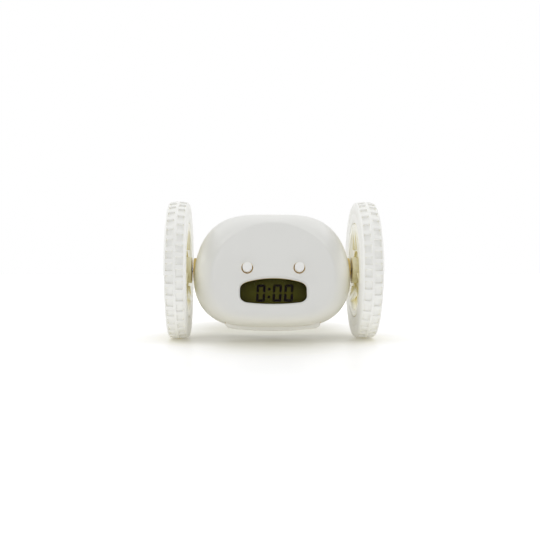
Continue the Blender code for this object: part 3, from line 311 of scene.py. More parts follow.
def grow(name, tree, copy, label, point, merge=0.0, **values):  # runs a tree once and keeps its plain mesh
    host = addObject(name, bpy.data.meshes.new(name))
    values.update(Copy=centred(copy, point), Finish=finishes[label])
    modifier = host.modifiers.new("grow", "NODES")
    modifier.node_group = tree
    for socket in tree.interface.items_tree:
        if socket.in_out == "INPUT":
            modifier[socket.identifier] = values[socket.name]
    bake(host)
    host.data.transform(Matrix.Translation(toWorld(point)))
    tidyMesh(host.data, merge)
    drop(copy)
    if "Spots" in values:
        drop(values["Spots"])
    return host


ringCopies, rowCopies, spotCopies = ringTree(), rowTree(), spotTree()
print("node trees ready")


# finishes

def newFinish(name, colour=None, alpha=1.0):
    finish = bpy.data.materials.new(name)
    finish.use_nodes = True
    if colour:
        finish.diffuse_color = (*colour, alpha)
    tree = finish.node_tree
    return finish, tree, put(tree, "ShaderNodeTexCoord").outputs["Object"]


def dress(finish, inputs):
    feed(finish.node_tree, finish.node_tree.nodes["Principled BSDF"], inputs)
    return finish


def noise(tree, where, scale, detail=2.0):
    return put(tree, "ShaderNodeTexNoise", {"Scale": scale, "Detail": detail, "Vector": where}).outputs["Fac"]


def remap(tree, value, low, high, newLow=0.0, newHigh=1.0, kind="LINEAR"):
    return put(tree, "ShaderNodeMapRange", {"Value": value, "From Min": low, "From Max": high, "To Min": newLow,
                                            "To Max": newHigh}, interpolation_type=kind).outputs["Result"]


def mixed(tree, factor, *sides):
    first, second = [(*side, 1.0) if isinstance(side, tuple) else side for side in sides]
    return put(tree, "ShaderNodeMix", {0: factor, 6: first, 7: second}, data_type="RGBA").outputs[2]


def scaled(colour, share):
    return tuple(c * share for c in colour)


def bumped(tree, height, strength, distance):  # distance in metres
    return put(tree, "ShaderNodeBump", {"Strength": strength, "Distance": distance,
                                        "Height": height}).outputs["Normal"]


def openness(tree, reach, samples):
    return put(tree, "ShaderNodeAmbientOcclusion", {"Distance": reach * millimetre}, samples=samples).outputs["AO"]


def lengthOf(tree, vector):
    return put(tree, "ShaderNodeVectorMath", {0: vector}, operation="LENGTH").outputs["Value"]


def ovalFrom(tree, where, middle, spread):  # nought in the middle of an oval, one on its edge
    oval = put(tree, "ShaderNodeMapping", {"Vector": where, "Location": middle, "Scale": spread},
               vector_type="TEXTURE")
    return lengthOf(tree, oval.outputs["Vector"])


lookKeys = ("colour", "cloud", "cloudScale", "rough", "roughSpread", "grainScale", "grain")
looks = {
    "shell_plastic": ((0.80, 0.80, 0.775), 0.985, 30.0, 0.36, 0.04, 2600.0, 0.10),
    "button_plastic": ((0.89, 0.89, 0.87), 0.985, 60.0, 0.30, 0.04, 3000.0, 0.06),
    # bush: cream plastic deepened to yellow as painted shade, for the brown shade in the gap between body and hub
    "bush_plastic": ((0.86, 0.74, 0.38), 0.985, 60.0, 0.34, 0.04, 2600.0, 0.06),
    "tyre_rubber": ((0.94, 0.94, 0.91), 0.98, 45.0, 0.60, 0.06, 2200.0, 0.22),
    "rim_plastic": ((0.96, 0.95, 0.865), 0.98, 40.0, 0.38, 0.05, 2600.0, 0.10),
    "gear_plastic": ((0.82, 0.80, 0.72), 0.94, 90.0, 0.42, 0.05, 1800.0, 0.12),
    "inner_plastic": ((0.70, 0.70, 0.68), 0.94, 50.0, 0.50, 0.06, 1500.0, 0.20),
    "dark_plastic": ((0.03, 0.03, 0.03), 0.8, 70.0, 0.45, 0.08, 2000.0, 0.25),
    "cell_jacket": ((0.05, 0.05, 0.06), 0.7, 35.0, 0.28, 0.06, 900.0, 0.05),
    "connector_rubber": ((0.30, 0.30, 0.32), 0.8, 400.0, 0.7, 0.05, 2600.0, 0.3),
    "displayInk": ((0.008, 0.003, 0.010), 0.8, 90.0, 0.5, 0.05, 900.0, 0.0),
}
paintedHollowShade = {  # painted shade: colour given to spots shut in within a reach in millimetres, for the shade and warm bounce light there: full at the lower openness, none at the upper
    # shell: broad painted shade and warm bounce near the wheels and the floor, then brown painted shade in the narrow
    # gaps round the eyes and the window
    "shell_plastic": (((0.875, 0.865, 0.80), 45.0, 0.2, 0.75), ((0.82, 0.58, 0.12), 2.5, 0.15, 0.6)),
    # buttons: brown painted shade in the gap round each eye button
    "button_plastic": (((0.80, 0.56, 0.11), 3.0, 0.2, 0.8),),
    # bush: strong brown painted shade over a wide reach, for the same gap
    "bush_plastic": (((0.80, 0.55, 0.10), 14.0, 0.2, 0.9),),
    # tyre: yellowish painted shade on the walls of the tread pockets
    "tyre_rubber": (((0.80, 0.74, 0.44), 1.4, 0.1, 0.65),),
    # rim: yellow painted shade inside the rim and its windows
    "rim_plastic": (((0.89, 0.78, 0.28), 9.0, 0.05, 0.8),),
}
specular = {"tyre_rubber": 0.35, "displayInk": 0.02}
coat = {"cell_jacket": 0.4}
moulding = {"cloudDetail": 3.0, "cloudSpan": (0.3, 0.7), "grainSpan": (0.2, 0.8), "grainDepth": 0.0001,
            "shadeSamples": 8, "specular": 0.5, "coatRough": 0.15}
metal = {"ringScale": 900.0, "waviness": 2.0, "smudgeScale": 180.0, "smudgeDetail": 4.0, "smudgeSpan": (0.3, 0.7),
         "darker": 0.82, "smoother": 0.8, "rougher": 1.3, "rings": 0.15, "ringDepth": 0.00005}
board = {"colour": (0.02, 0.16, 0.06), "track": (0.05, 0.24, 0.09), "scale": 260.0, "gap": 0.03, "darker": 0.8,
         "relief": 0.3, "reliefDepth": 0.00004, "rough": 0.4}
clear = {"colour": (0.02, 0.018, 0.004), "alpha": 0.08, "specular": 0.10, "smearScale": 120.0, "smearDetail": 3.0,
         "smearSpan": (0.3, 0.7), "rough": (0.05, 0.12), "shown": (0.35, 0.34, 0.20), "shownAlpha": 0.3}
# the cell's olive colour; the border colour is painted shade towards the cell's edge
olive = {"colour": (0.082, 0.080, 0.012), "border": (0.038, 0.036, 0.008), "spread": (0.021, 0.02, 0.0095),
         "edge": (0.55, 1.15), "cloudScale": 160.0, "cloudDetail": 3.0, "cloudSpan": (0.35, 0.65), "cloud": 0.25,
         "rough": 0.45, "specular": 0.02}


def moulded(name):  # moulded plastic or rubber: painted shade, warm, in its hollows, faint grain, uneven gloss
    look = dict(zip(lookKeys, looks[name]))
    finish, tree, where = newFinish(name, look["colour"])
    broad = remap(tree, noise(tree, where, look["cloudScale"], moulding["cloudDetail"]), *moulding["cloudSpan"])
    colour = mixed(tree, broad, scaled(look["colour"], look["cloud"]), look["colour"])
    # painted shade: each hollow colour is laid where ambient occlusion finds the piece shut in
    for shadeColour, reach, low, high in paintedHollowShade.get(name, ()):
        colour = mixed(tree, remap(tree, openness(tree, reach, moulding["shadeSamples"]), low, high), shadeColour, colour)
    fine = noise(tree, where, look["grainScale"])
    rough, spread = look["rough"], look["roughSpread"]
    return dress(finish, {
        "Base Color": colour, "Roughness": remap(tree, fine, *moulding["grainSpan"], rough - spread, rough + spread),
        "Normal": bumped(tree, fine, look["grain"], moulding["grainDepth"]),
        "Specular IOR Level": specular.get(name, moulding["specular"]),
        "Coat Weight": coat.get(name, 0.0), "Coat Roughness": moulding["coatRough"]})


def turnedMetal(name, colour, rough):  # fine machining rings and smudged gloss
    finish, tree, where = newFinish(name, colour)
    rings = put(tree, "ShaderNodeTexWave", {"Scale": metal["ringScale"], "Distortion": metal["waviness"],
                                            "Vector": where}, wave_type="RINGS", rings_direction="X")
    smudge = noise(tree, where, metal["smudgeScale"], metal["smudgeDetail"])
    return dress(finish, {
        "Base Color": mixed(tree, smudge, scaled(colour, metal["darker"]), colour),
        "Roughness": remap(tree, smudge, *metal["smudgeSpan"], rough * metal["smoother"], rough * metal["rougher"]),
        "Normal": bumped(tree, rings.outputs["Fac"], metal["rings"], metal["ringDepth"]), "Metallic": 1.0})


def boardFinish():  # solder mask over copper tracks
    finish, tree, where = newFinish("board_green")
    tracks = put(tree, "ShaderNodeTexBrick", {
        "Scale": board["scale"], "Mortar Size": board["gap"], "Color1": (*board["colour"], 1.0), "Vector": where,
        "Color2": (*scaled(board["colour"], board["darker"]), 1.0), "Mortar": (*board["track"], 1.0)})
    return dress(finish, {"Base Color": tracks.outputs["Color"], "Roughness": board["rough"],
                          "Normal": bumped(tree, tracks.outputs["Fac"], board["relief"], board["reliefDepth"])})


def clearWindow():  # thin tinted plastic, the cell behind it stays readable
    finish, tree, where = newFinish("window_plastic", clear["shown"], clear["shownAlpha"])
    smear = noise(tree, where, clear["smearScale"], clear["smearDetail"])
    return dress(finish, {
        "Base Color": (*clear["colour"], 1.0), "Roughness": remap(tree, smear, *clear["smearSpan"], *clear["rough"]),
        "Alpha": clear["alpha"], "Specular IOR Level": clear["specular"]})


def lcdBackground(middle):  # olive cell with painted shade: darker towards its border, round the given middle
    finish, tree, where = newFinish("lcd_glass")
    edge = remap(tree, ovalFrom(tree, where, middle, olive["spread"]), *olive["edge"])
    base = mixed(tree, edge, olive["colour"], olive["border"])
    cloud = noise(tree, where, olive["cloudScale"], olive["cloudDetail"])
    cloudy = remap(tree, cloud, *olive["cloudSpan"], 0.0, olive["cloud"])
    return dress(finish, {"Base Color": mixed(tree, cloudy, base, olive["border"]), "Roughness": olive["rough"],
                          "Specular IOR Level": olive["specular"]})


finishes = {label: moulded(label) for label in looks}
finishes["steel"] = turnedMetal("steel", (0.62, 0.62, 0.63), 0.28)
finishes["brass"] = turnedMetal("brass", (0.78, 0.58, 0.24), 0.26)
finishes["board_green"] = boardFinish()
finishes["window_plastic"] = clearWindow()
print("finishes ready:", len(finishes))


# body: a superellipse outline carried forward and back by two domes, with a tilted shallow face

body = {
    "halfWidth": 50.5, "top": 36.1, "bottom": -37.1, "centre": -7.0,
    "upperPower": 3.55, "lowerPower": 3.6, "facePower": 2.0, "facePowerShare": 0.86,
    "frontDepth": 32.4, "frontSlope": 0.18, "frontPower": 3.0,
    "rearDepth": 31.5, "rearPower": 2.5,
    "wall": 2.0, "parting": 0.3, "lip": 0.35,
    "faceAtAxle": -26.3, "faceSlope": 0.23, "dish": 0.6,
    "creaseTop": 0.4, "creaseSide": 0.8, "creaseBottom": 5.0, "creaseEase": 0.7,
    "around": 192,
}
skinRows = {  # rows of faces on the outer and the inner skin, in front for the face, its crease and the dome
    "front": ((14, 12, 22), (4, 4, 8)), "rear": (34, 12), "faceStart": 0.8, "faceEnd": 0.84, "creaseEnd": 0.16,
}
faceTilt = math.atan(body["faceSlope"])
faceNormal = Vector((0.0, -math.cos(faceTilt), math.sin(faceTilt)))
faceUp = Vector((0.0, math.sin(faceTilt), math.cos(faceTilt)))


def faceFrame(across=0.0, up=0.0):
    return columns((1, 0, 0), faceUp, faceNormal, Vector((across, body["faceAtAxle"], 0.0)) + faceUp * up)


def blended(start, end, part):
    return start + (end - start) * part


def sectionPower(share, above, front):  # in front, sections ease to an ellipse towards the upper face edge
    if not above:
        return body["lowerPower"]
    if not front:
        return body["upperPower"]
    part = min(max((share - body["facePowerShare"]) / (1.0 - body["facePowerShare"]), 0.0), 1.0)
    return blended(body["facePower"], body["upperPower"], part)


def halfHeight(above, inset=0.0):
    return (body["top"] - body["centre"] if above else body["centre"] - body["bottom"]) - inset


def sectionAt(turn, share, inset=0.0, front=True):  # (x, h) on the section that is this share of the outline
    c, s = math.cos(turn), math.sin(turn)
    above = s >= 0.0
    x = share * (body["halfWidth"] - inset) * abs(c) ** (2.0 / sectionPower(share, above, front))
    return math.copysign(x, c), body["centre"] + share * halfHeight(above, inset) * s


def outlineAt(turn, inset=0.0):
    return sectionAt(turn, 1.0, inset)


def heightAt(turn, share, inset):
    return body["centre"] + share * (outlineAt(turn, inset)[1] - body["centre"])


def evenTurns(count, fine=5760):
    lengths, last = [0.0], outlineAt(0.0)
    for i in range(1, fine + 1):
        here = outlineAt(fullTurn * i / fine)
        lengths.append(lengths[-1] + math.dist(last, here))
        last = here
    turns, cursor = [], 0
    for i in range(count):
        wanted = lengths[-1] * i / count
        while lengths[cursor + 1] < wanted:
            cursor += 1
        part = (wanted - lengths[cursor]) / (lengths[cursor + 1] - lengths[cursor])
        turns.append(fullTurn * (cursor + part) / fine)
    return turns


def domeY(share, h, inset, front):
    power = body["frontPower"] if front else body["rearPower"]
    depth = body["frontDepth"] - body["frontSlope"] * h if front else body["rearDepth"]
    reach = (depth - inset) * max(0.0, 1.0 - share ** power) ** (1.0 / power)
    return -reach if front else reach


def faceY(h, inset=0.0):
    return body["faceAtAxle"] + body["faceSlope"] * h + inset / math.cos(faceTilt)


def bisect(low, high, rounds, isBelow):
    for _ in range(rounds):
        middle = 0.5 * (low + high)
        if isBelow(middle):
            low = middle
        else:
            high = middle
    return low, high


def edgeShare(turn, inset=0.0):  # where the face plane meets the dome
    def isBelow(share):
        here = heightAt(turn, share, inset)
        return domeY(share, here, inset, True) < faceY(here, inset)

    return bisect(0.05, 1.0, 30, isBelow)[0]


def frontY(share, turn, edge, inset=0.0):  # dome and dished face, blended along their crease
    here = heightAt(turn, share, inset)
    s = math.sin(turn)
    if s >= 0.0:
        blend = blended(body["creaseSide"], body["creaseTop"], s ** body["creaseEase"])
    else:
        blend = blended(body["creaseSide"], body["creaseBottom"], -s)
    dome = domeY(share, here, inset, True)
    flat = faceY(here, inset) + body["dish"] * max(0.0, 1.0 - (share / edge) ** 2)
    near = max(blend - abs(dome - flat), 0.0) / blend
    return max(dome, flat) + near * near * blend / 4.0


def spanned(start, end, count):
    return [start + (end - start) * i / count for i in range(count)]


def frontMeridian(turn, inset, rows):
    edge = edgeShare(turn, inset)
    power = body["frontPower"]
    start = math.asin(edge ** (power / 2.0))

    def domeShare(t):
        return math.sin(start + (quarterTurn - start) * t) ** (2.0 / power)

    face, crease, dome = rows
    faceEnd, creaseEnd = edge * skinRows["faceEnd"], skinRows["creaseEnd"]
    shares = spanned(edge * skinRows["faceStart"] / face, faceEnd, face)
    shares += spanned(faceEnd, domeShare(creaseEnd), crease)
    shares += [domeShare(creaseEnd + (1.0 - creaseEnd) * i / dome) for i in range(dome + 1)]
    points = []
    for share in shares:
        x, here = sectionAt(turn, share, inset)
        points.append([x, frontY(share, turn, edge, inset), here])
    return points


def rearMeridian(turn, inset, rows):
    points = []
    for i in range(1, rows + 1):
        share = math.sin(quarterTurn * i / rows) ** (2.0 / body["rearPower"])
        here = heightAt(turn, share, inset)
        points.append([share * outlineAt(turn, inset)[0], domeY(share, here, inset, False), here])
    return points


def shellSkin(front, inset, turns, rows):  # meridians that end on a softened parting edge
    seam = (-1 if front else 1) * body["parting"] / 2.0
    lip = -body["lip"] if front else body["lip"]
    skin = []
    for turn in turns:
        line = (frontMeridian if front else rearMeridian)(turn, inset, rows)
        x, h = outlineAt(turn, inset)
        line[-1] = [x, seam + lip, h]
        ends = ((0.1, 0.3 * lip), (abs(lip), 0.0)) if inset == 0.0 else ((inset, 0.0),)
        for border, rise in ends:
            x, h = outlineAt(turn, border)
            line.append([x, seam + rise, h])
        skin.append(line)
    return skin


def strips(a, b, rows):
    return [(a + row, a + row + 1, b + row + 1, b + row) for row in range(rows - 1)]


def shellHalf(name, front):
    turns = evenTurns(body["around"])
    points, faces, ends = [], [], []
    for inset, rows in zip((0.0, body["wall"]), skinRows["front" if front else "rear"]):
        if front:
            poleY = faceY(body["centre"], inset) + body["dish"]
        else:
            poleY = domeY(0.0, body["centre"], inset, False)
        skin = shellSkin(front, inset, turns, rows)
        pole = len(points)
        points.append((0.0, poleY, body["centre"]))
        rows = len(skin[0])
        for line in skin:
            points += line
        for i in range(len(turns)):
            a = pole + 1 + i * rows
            b = pole + 1 + (i + 1) % len(turns) * rows
            faces += [(pole, a, b), *strips(a, b, rows)]
        ends.append([pole + i * rows + rows for i in range(len(turns))])
    outer, inner = ends
    for i in range(len(turns)):
        j = (i + 1) % len(turns)
        faces.append((outer[i], outer[j], inner[j], inner[i]))
    return objectFrom(name, points, faces)


def bodySolid(inset, around=96, steps=14):  # the filled egg, for trimming
    points, faces = [], []
    for turn in evenTurns(around):
        for step in range(-steps, steps + 1):
            angle = quarterTurn * (1.0 - abs(step) / (steps + 0.35))  # stops short of the pole
            front = step < 0
            share = math.sin(angle) ** (2.0 / (body["frontPower"] if front else body["rearPower"]))
            x, here = sectionAt(turn, share, inset, front)
            points.append((x, domeY(share, here, inset, front), here))
    rows = 2 * steps + 1
    poles = len(points)
    points += [(0.0, domeY(0.0, body["centre"], inset, front), body["centre"]) for front in (True, False)]
    for i in range(around):
        a, b = i * rows, (i + 1) % around * rows
        faces += [*strips(a, b, rows), (poles, a, b), (poles + 1, a + rows - 1, b + rows - 1)]
    return objectFrom("solid", points, faces)


def shareAt(x, h, front):
    above = h >= body["centre"]
    reach = halfHeight(above)

    def isBelow(share):
        value = (abs(x) / (share * body["halfWidth"])) ** sectionPower(share, above, front)
        return value + (abs(h - body["centre"]) / (share * reach)) ** 2.0 > 1.0

    return bisect(1e-6, 2.0, 26, isBelow)[1]


def turnAt(x, h, share):
    above = h >= body["centre"]
    s = (h - body["centre"]) / (share * halfHeight(above))
    c = math.copysign((abs(x) / (share * body["halfWidth"])) ** (sectionPower(share, above, True) / 2.0), x)
    return math.atan2(s, c)


def faceDepth(u, v):  # how far the real face lies along the face plane's normal
    n = 0.0
    for _ in range(3):
        point = Vector((u, body["faceAtAxle"], 0.0)) + faceUp * v + faceNormal * n
        share = shareAt(point.x, point.z, True)
        turn = turnAt(point.x, point.z, share)
        n -= (frontY(share, turn, edgeShare(turn)) - point.y) * math.cos(faceTilt)
    return n


def rearDepth(x, h):
    return domeY(min(shareAt(x, h, False), 1.0), h, 0.0, False)


def topHeight(x, y):
    def isBelow(h):
        share = shareAt(x, h, y < 0)
        return share < 1.0 and abs(domeY(share, h, 0.0, y < 0)) > abs(y)

    return bisect(body["centre"], body["top"], 26, isBelow)[0]


def surfaceLoft(name, sections, levelAt, spot, peak=6.0, root=8.0):  # rings on a surface, closed by points
    rings = [[(u, v, levelAt(u, v) - depth) for u, v in outline] for outline, depth in sections]
    middle = levelAt(0.0, 0.0)
    return loft(name, [[(0.0, 0.0, middle + peak)], *rings, [(0.0, 0.0, middle - root)]], spot)


# mouths of moulded holes, as shares of their lip outwards and inwards
lipShape = ((2.1, -2.2), (1.0, 0.0), (0.8, 0.06), (0.48, 0.25), (0.2, 0.55), (0.03, 0.93), (0.0, 1.3))
chamferShape = ((2.1, -2.2), (1.0, 0.0), (0.92, 0.05), (0.12, 0.78), (0.0, 0.95), (0.0, 1.3))


def lipSections(outlineOf, clear, lip, deep, shape=lipShape):
    return [(outlineOf(clear + a * lip), b * lip) for a, b in shape] + [(outlineOf(clear), deep)]


# openings of the shells

window = {
    "width": 41.4, "height": 16.3, "topBow": 1.9, "lowBow": 0.9, "topCorner": (5.6, 5.0), "lowCorner": (4.8, 4.4),
    "fullness": 0.57, "steps": 10, "centre": -13.0, "lip": 1.1, "deep": 6.0,
}
eye = {"across": 16.2, "up": 1.5, "radius": 2.95, "gap": 0.55, "lip": 0.3, "deep": 6.0}
snooze = {"halfLength": 19.6, "halfWidth": 10.6, "lip": 0.45, "deep": 8.0, "around": 96}
door = {
    "halfLength": 29.8, "halfWidth": 20.0, "top": -20.2, "low": -38.4, "bow": 1.8, "steps": 36,
    "endHeight": -34.8, "endSlope": 2.0, "inner": 1.6, "gap": 0.35, "holeTop": -18.6,
    "edge": 0.85, "nubLength": 4.6, "nubWidth": 2.4, "nubHeight": 1.3, "nubY": 13.5,
    "ribs": 5, "ribStep": 1.3, "ribLength": 5.0, "ribHeight": 0.45, "ribY": 4.0,
}
bush = {"radius": 7.8, "flange": 9.0, "flangeStart": 44.0, "flangeEnd": 45.0, "end": 50.8, "bore": 1.8,
        "groove": 1.2, "grooveEdges": (5.2, 5.0, 3.4, 3.2)}
well = {"upper": (36.0, 19.0), "lower": (38.8, -24.5), "radius": 2.6, "wallRadius": 3.3, "seat": 7.2}
rear = {
    "row": -12.5, "across": 12.5, "radius": 2.9, "proud": 1.2, "lip": 0.25, "start": 24.5, "deep": 5.0,
    "slotLength": 4.1, "slotHeight": 1.7, "grilleUp": 6.0, "grillePitch": 4.6, "grilleRadius": 1.0,
    "grilleCount": 6, "stem": 1.6, "stemEnd": 23.9, "flangeStart": 26.5, "flangeEnd": 27.4, "flangeBorder": 1.1,
}
outside = 60.0  # beyond every surface


def windowQuarter(border, bow, corner):  # from the middle of a long side to the end of its corner
    halfU, halfV = window["width"] / 2.0 + border, window["height"] / 2.0 + border
    wide, high = corner[0] + border, corner[1] + border
    flat, steps, fullness = halfU - wide, window["steps"], window["fullness"]
    quarter = [(flat * i / steps, halfV - bow * (i / steps) ** 2) for i in range(steps)]
    start, end = Vector((flat, halfV - bow)), Vector((halfU, halfV - bow - high))
    lean = Vector((1.0, -2.0 * bow / flat)).normalized() * wide * fullness
    rise = Vector((0.0, high * fullness))
    for i in range(steps + 1):
        t = i / steps
        p = start * (1 - t) ** 3 + (start + lean) * 3 * t * (1 - t) ** 2
        p += (end + rise) * 3 * t * t * (1 - t) + end * t ** 3
        quarter.append((p.x, p.y))
    return quarter


def windowOutline(border):  # a pillow: bowed long sides run into rounded ends
    right = windowQuarter(border, window["topBow"], window["topCorner"])
    right += [(u, -v) for u, v in windowQuarter(border, window["lowBow"], window["lowCorner"])[::-1]]
    return right + [(-u, v) for u, v in right[-2:0:-1]]


def ellipse(halfU, halfV, count):
    return [(halfU * math.cos(a), halfV * math.sin(a)) for a in spanned(0.0, fullTurn, count)]


def snoozeOutline(border):
    return ellipse(snooze["halfLength"] + border, snooze["halfWidth"] + border, snooze["around"])


def doorOutline():
    half, low, bow = door["halfLength"], door["low"], door["bow"]
    outline = [(half, door["top"]), (-half, door["top"]), (-half, door["endHeight"])]
    for step in range(door["steps"] + 1):
        share = 2.0 * step / door["steps"] - 1.0
        outline.append((share * (half - door["endSlope"]), low + bow * share * share))
    return outline + [(half, door["endHeight"])]


def commonCutters():
    hole = surfaceLoft("hole", lipSections(snoozeOutline, fit["moving"], snooze["lip"], snooze["deep"]),
                       topHeight, topFrame(), peak=12.0, root=14.0)
    reachU, reachV = door["halfLength"] + door["gap"], door["halfWidth"] + door["gap"]
    mouth = [(reachU, reachV), (-reachU, reachV), (-reachU, -reachV), (reachU, -reachV)]
    join(hole, slab("mouth", [(mouth, -outside), (mouth, door["holeTop"])], topFrame()))
    ring = circle(bush["radius"] + fit["moving"], 64)
    for side in names:
        join(hole, slab("ring", [(ring, bush["flangeEnd"]), (ring, outside)], sideFrame(side)))
    return hole


def eyeOutline(border):
    return circle(eye["radius"] + border, 48)


def frontCutters():
    tool = commonCutters()
    centre = window["centre"]
    join(tool, surfaceLoft("window", lipSections(windowOutline, 0.0, window["lip"], window["deep"], chamferShape),
                           lambda u, v: faceDepth(u, v + centre), faceFrame(0.0, centre)))
    for side in names:
        x, up = side * eye["across"], eye["up"]
        join(tool, surfaceLoft("eye", lipSections(eyeOutline, eye["gap"], eye["lip"], eye["deep"]),
                               lambda u, v: faceDepth(u + x, v + up), faceFrame(x, up)))
    return tool


def rearHole(x, h, outlineOf, clear):
    return surfaceLoft("hole", lipSections(outlineOf, clear, rear["lip"], rear["deep"]),
                       lambda u, v: rearDepth(x - u, h + v), rearFrame(x, h))


def slotOutline(border):
    return roundedBox(rear["slotLength"] + border, rear["slotHeight"] + border, 0.5 + border * 0.5)


def wellPlaces():
    return [(side * x, h) for side in names for x, h in (well["upper"], well["lower"])]


def rearCutters():
    tool = commonCutters()
    mouth = circle(well["radius"], 40)
    for x, h in wellPlaces():
        join(tool, slab("well", [(mouth, well["seat"]), (mouth, outside)], rearFrame(x, h)))
    for side in names:
        join(tool, rearHole(side * rear["across"], rear["row"], lambda b: circle(rear["radius"] + b, 40),
                            fit["moving"]))
    join(tool, rearHole(0.0, rear["row"], slotOutline, 0.0))
    up, start, radius = rear["grilleUp"], rear["start"], rear["grilleRadius"]
    depth = rearDepth(0.0, up)
    hole = ((start, 0.0, 0.0), (start, radius, 0.0), (depth - 0.45, radius, 0.2), (depth + 1.5, radius + 1.4, 0.0),
            (depth + 1.5, 0.0, 0.0))
    join(tool, lathe("hole", hole, 24, rearFrame(0.0, up)))
    return join(tool, grow("holes", ringCopies, lathe("hole", hole, 24, rearFrame(rear["grillePitch"], up)),
                           "shell_plastic", (0.0, 0.0, up), Count=rear["grilleCount"], Axis=(0.0, 1.0, 0.0)))


def screwPosts():  # tubes round the screw wells, trimmed to the inside of the body
    ring = circle(well["wallRadius"], 40)
    posts = [slab("post", [(ring, 0.2), (ring, 40.0)], rearFrame(x, h)) for x, h in wellPlaces()]
    return carve(join(*posts), bodySolid(1.0), operation="INTERSECT")


frontShell = carve(shellHalf("frontShell", True), frontCutters())
rearShell = carve(shellHalf("rearShell", False), screwPosts(), operation="UNION")
carve(rearShell, rearCutters())
place(frontShell, "frontShell", "housing", "shell_plastic", ["front_shell"])
place(rearShell, "rearShell", "housing", "shell_plastic", ["rear_shell"])
print("body shells made")


# display: clear window, cell behind it and its dark segments

display = {
    "lensFront": -1.1, "lensBack": -2.5, "lensEdge": 0.25, "flangeFront": -2.9, "flangeBack": -3.7,
    "flangeBorder": 1.8, "flangeRise": 1.1, "cellWidth": 45.4, "cellHeight": 18.8, "cellThickness": 2.2,
    "cellEdge": 0.12, "inkThickness": 0.03, "digitWidth": 5.5, "digitHeight": 10.9, "stroke": 1.5, "slant": 3.4,
    "digitsAt": (-7.75, 2.45, 9.6), "dotsAt": -2.65, "dotSpread": 2.45, "dotRadius": 0.9, "rise": -0.8,
    "shadeCentreDrop": -2.5,
}
displayFrame = faceFrame(0.0, window["centre"])
cellFront = display["flangeBack"] - fit["moving"]


def makeLens():
    front, back, edge = display["lensFront"], display["lensBack"], display["lensEdge"]
    border = -fit["moving"]
    sections = ((border - edge, front), (border - edge * 0.3, front - edge * 0.3), (border, front - edge),
                (border, back), (2.0 * border, back - 0.01), (2.0 * border, display["flangeFront"] - 0.3))
    lens = slab("displayLens", [(windowOutline(b), along) for b, along in sections], displayFrame)
    plate = roundedBox(window["width"] / 2.0 + display["flangeBorder"],
                       window["height"] / 2.0 + display["flangeRise"], 0.4)
    flange = slab("plate", [(plate, display["flangeBack"]), (plate, display["flangeFront"])], displayFrame)
    return carve(lens, flange, operation="UNION")


def segments():  # outlines of one figure: six bars round a nought
    w, t, top = display["digitWidth"] / 2.0, display["stroke"], display["digitHeight"] / 2.0
    bar = [(-w + 0.6, top), (w - 0.6, top), (w - 0.36, top - 0.24), (w - t - 0.12, top - t),
           (-w + t + 0.12, top - t), (-w + 0.36, top - 0.24)]
    post = [(-w, top - 0.6), (-w + 0.24, top - 0.36), (-w + t, top - t - 0.12), (-w + t, 0.8),
            (-w + 0.55, 0.36), (-w, 0.5)]
    shapes = []
    for flipV in (1, -1):
        shapes.append([(u, flipV * v) for u, v in bar])
        shapes += [[(flipU * u, flipV * v) for u, v in post] for flipU in (1, -1)]
    return shapes


def makeDigits():
    lean = math.tan(math.radians(display["slant"]))
    outlines = [(x, shape) for x in display["digitsAt"] for shape in segments()]
    for v in (-display["dotSpread"], display["dotSpread"]):
        outlines.append((display["dotsAt"], [(a, b + v) for a, b in circle(display["dotRadius"], 20)]))
    parts = []
    for x, shape in outlines:
        placed = [(x + u + lean * v, v + display["rise"]) for u, v in shape]
        parts.append(slab("ink", [(placed, cellFront), (placed, cellFront + display["inkThickness"])], displayFrame))
    return join(*parts)


def makeCell():  # two plates of glass, parted by a fine groove
    edge, front, back = display["cellEdge"], cellFront, cellFront - display["cellThickness"]
    outline, inner = [roundedBox(display["cellWidth"] / 2.0 - b, display["cellHeight"] / 2.0 - b, 0.3)
                      for b in (0.0, edge)]
    return slab("lcdCell", [(inner, front), (outline, front - edge), (outline, front - 1.0), (inner, front - 1.05),
                            (outline, front - 1.1), (outline, back + edge), (inner, back)], displayFrame)


# the middle of the cell's painted shade sits low, so its top, under the window's upper wall, is darkest
finishes["lcd_glass"] = lcdBackground(toWorld(displayFrame @ Vector((0.0, display["shadeCentreDrop"], 0.0))))
place(makeLens(), "displayLens", "housing", "window_plastic", ["display_window"])
place(makeCell(), "lcdCell", "housing", "lcd_glass", ["lcd_panel"])
place(makeDigits(), "lcdDigits", "housing", "displayInk", slotName="lcd_glass")
print("display made")


# push buttons of the face and the top

eyeButton = {"proud": 3.3, "edge": 0.3, "stem": 1.7, "stemEnd": -4.2, "flange": 4.3, "flangeFront": -2.9,
             "flangeBack": -3.8, "crown": 0.12}
snoozeKey = {"flangeLow": 30.0, "flangeHigh": 31.2, "border": 1.6, "post": 1.8, "postEnd": 27.7, "edge": 0.5,
             "crown": (0.14, 0.28, 0.42, 0.55, 0.66, 0.76, 0.84, 0.90, 0.94),
             "rim": ((-1.0, 0.0), (-0.62, 0.06), (-0.3, 0.22), (-0.1, 0.5), (0.0, 1.0))}
spring = {"radius": 5.4, "wire": 0.4, "turns": 4, "low": 22.7, "high": 29.7, "press": 1.2, "stepsPerTurn": 28}


def makeEyeButton(side):
    r, top, crown, stem = eye["radius"], eyeButton["proud"], eyeButton["crown"], eyeButton["stem"]
    end, back, front = eyeButton["stemEnd"], eyeButton["flangeBack"], eyeButton["flangeFront"]
    flange = eyeButton["flange"]
    profile = ((end, 0.0, 0.0), (end, stem, 0.0), (back, stem, 0.0), (back, flange, 0.15), (front, flange, 0.15),
               (front, r, 0.15), (top - crown, r, eyeButton["edge"]), (top - crown * 0.4, r * 0.6, 0.6),
               (top, 0.0, 0.0))
    return lathe("button", profile, 64, faceFrame(side * eye["across"], eye["up"]), steps=6)


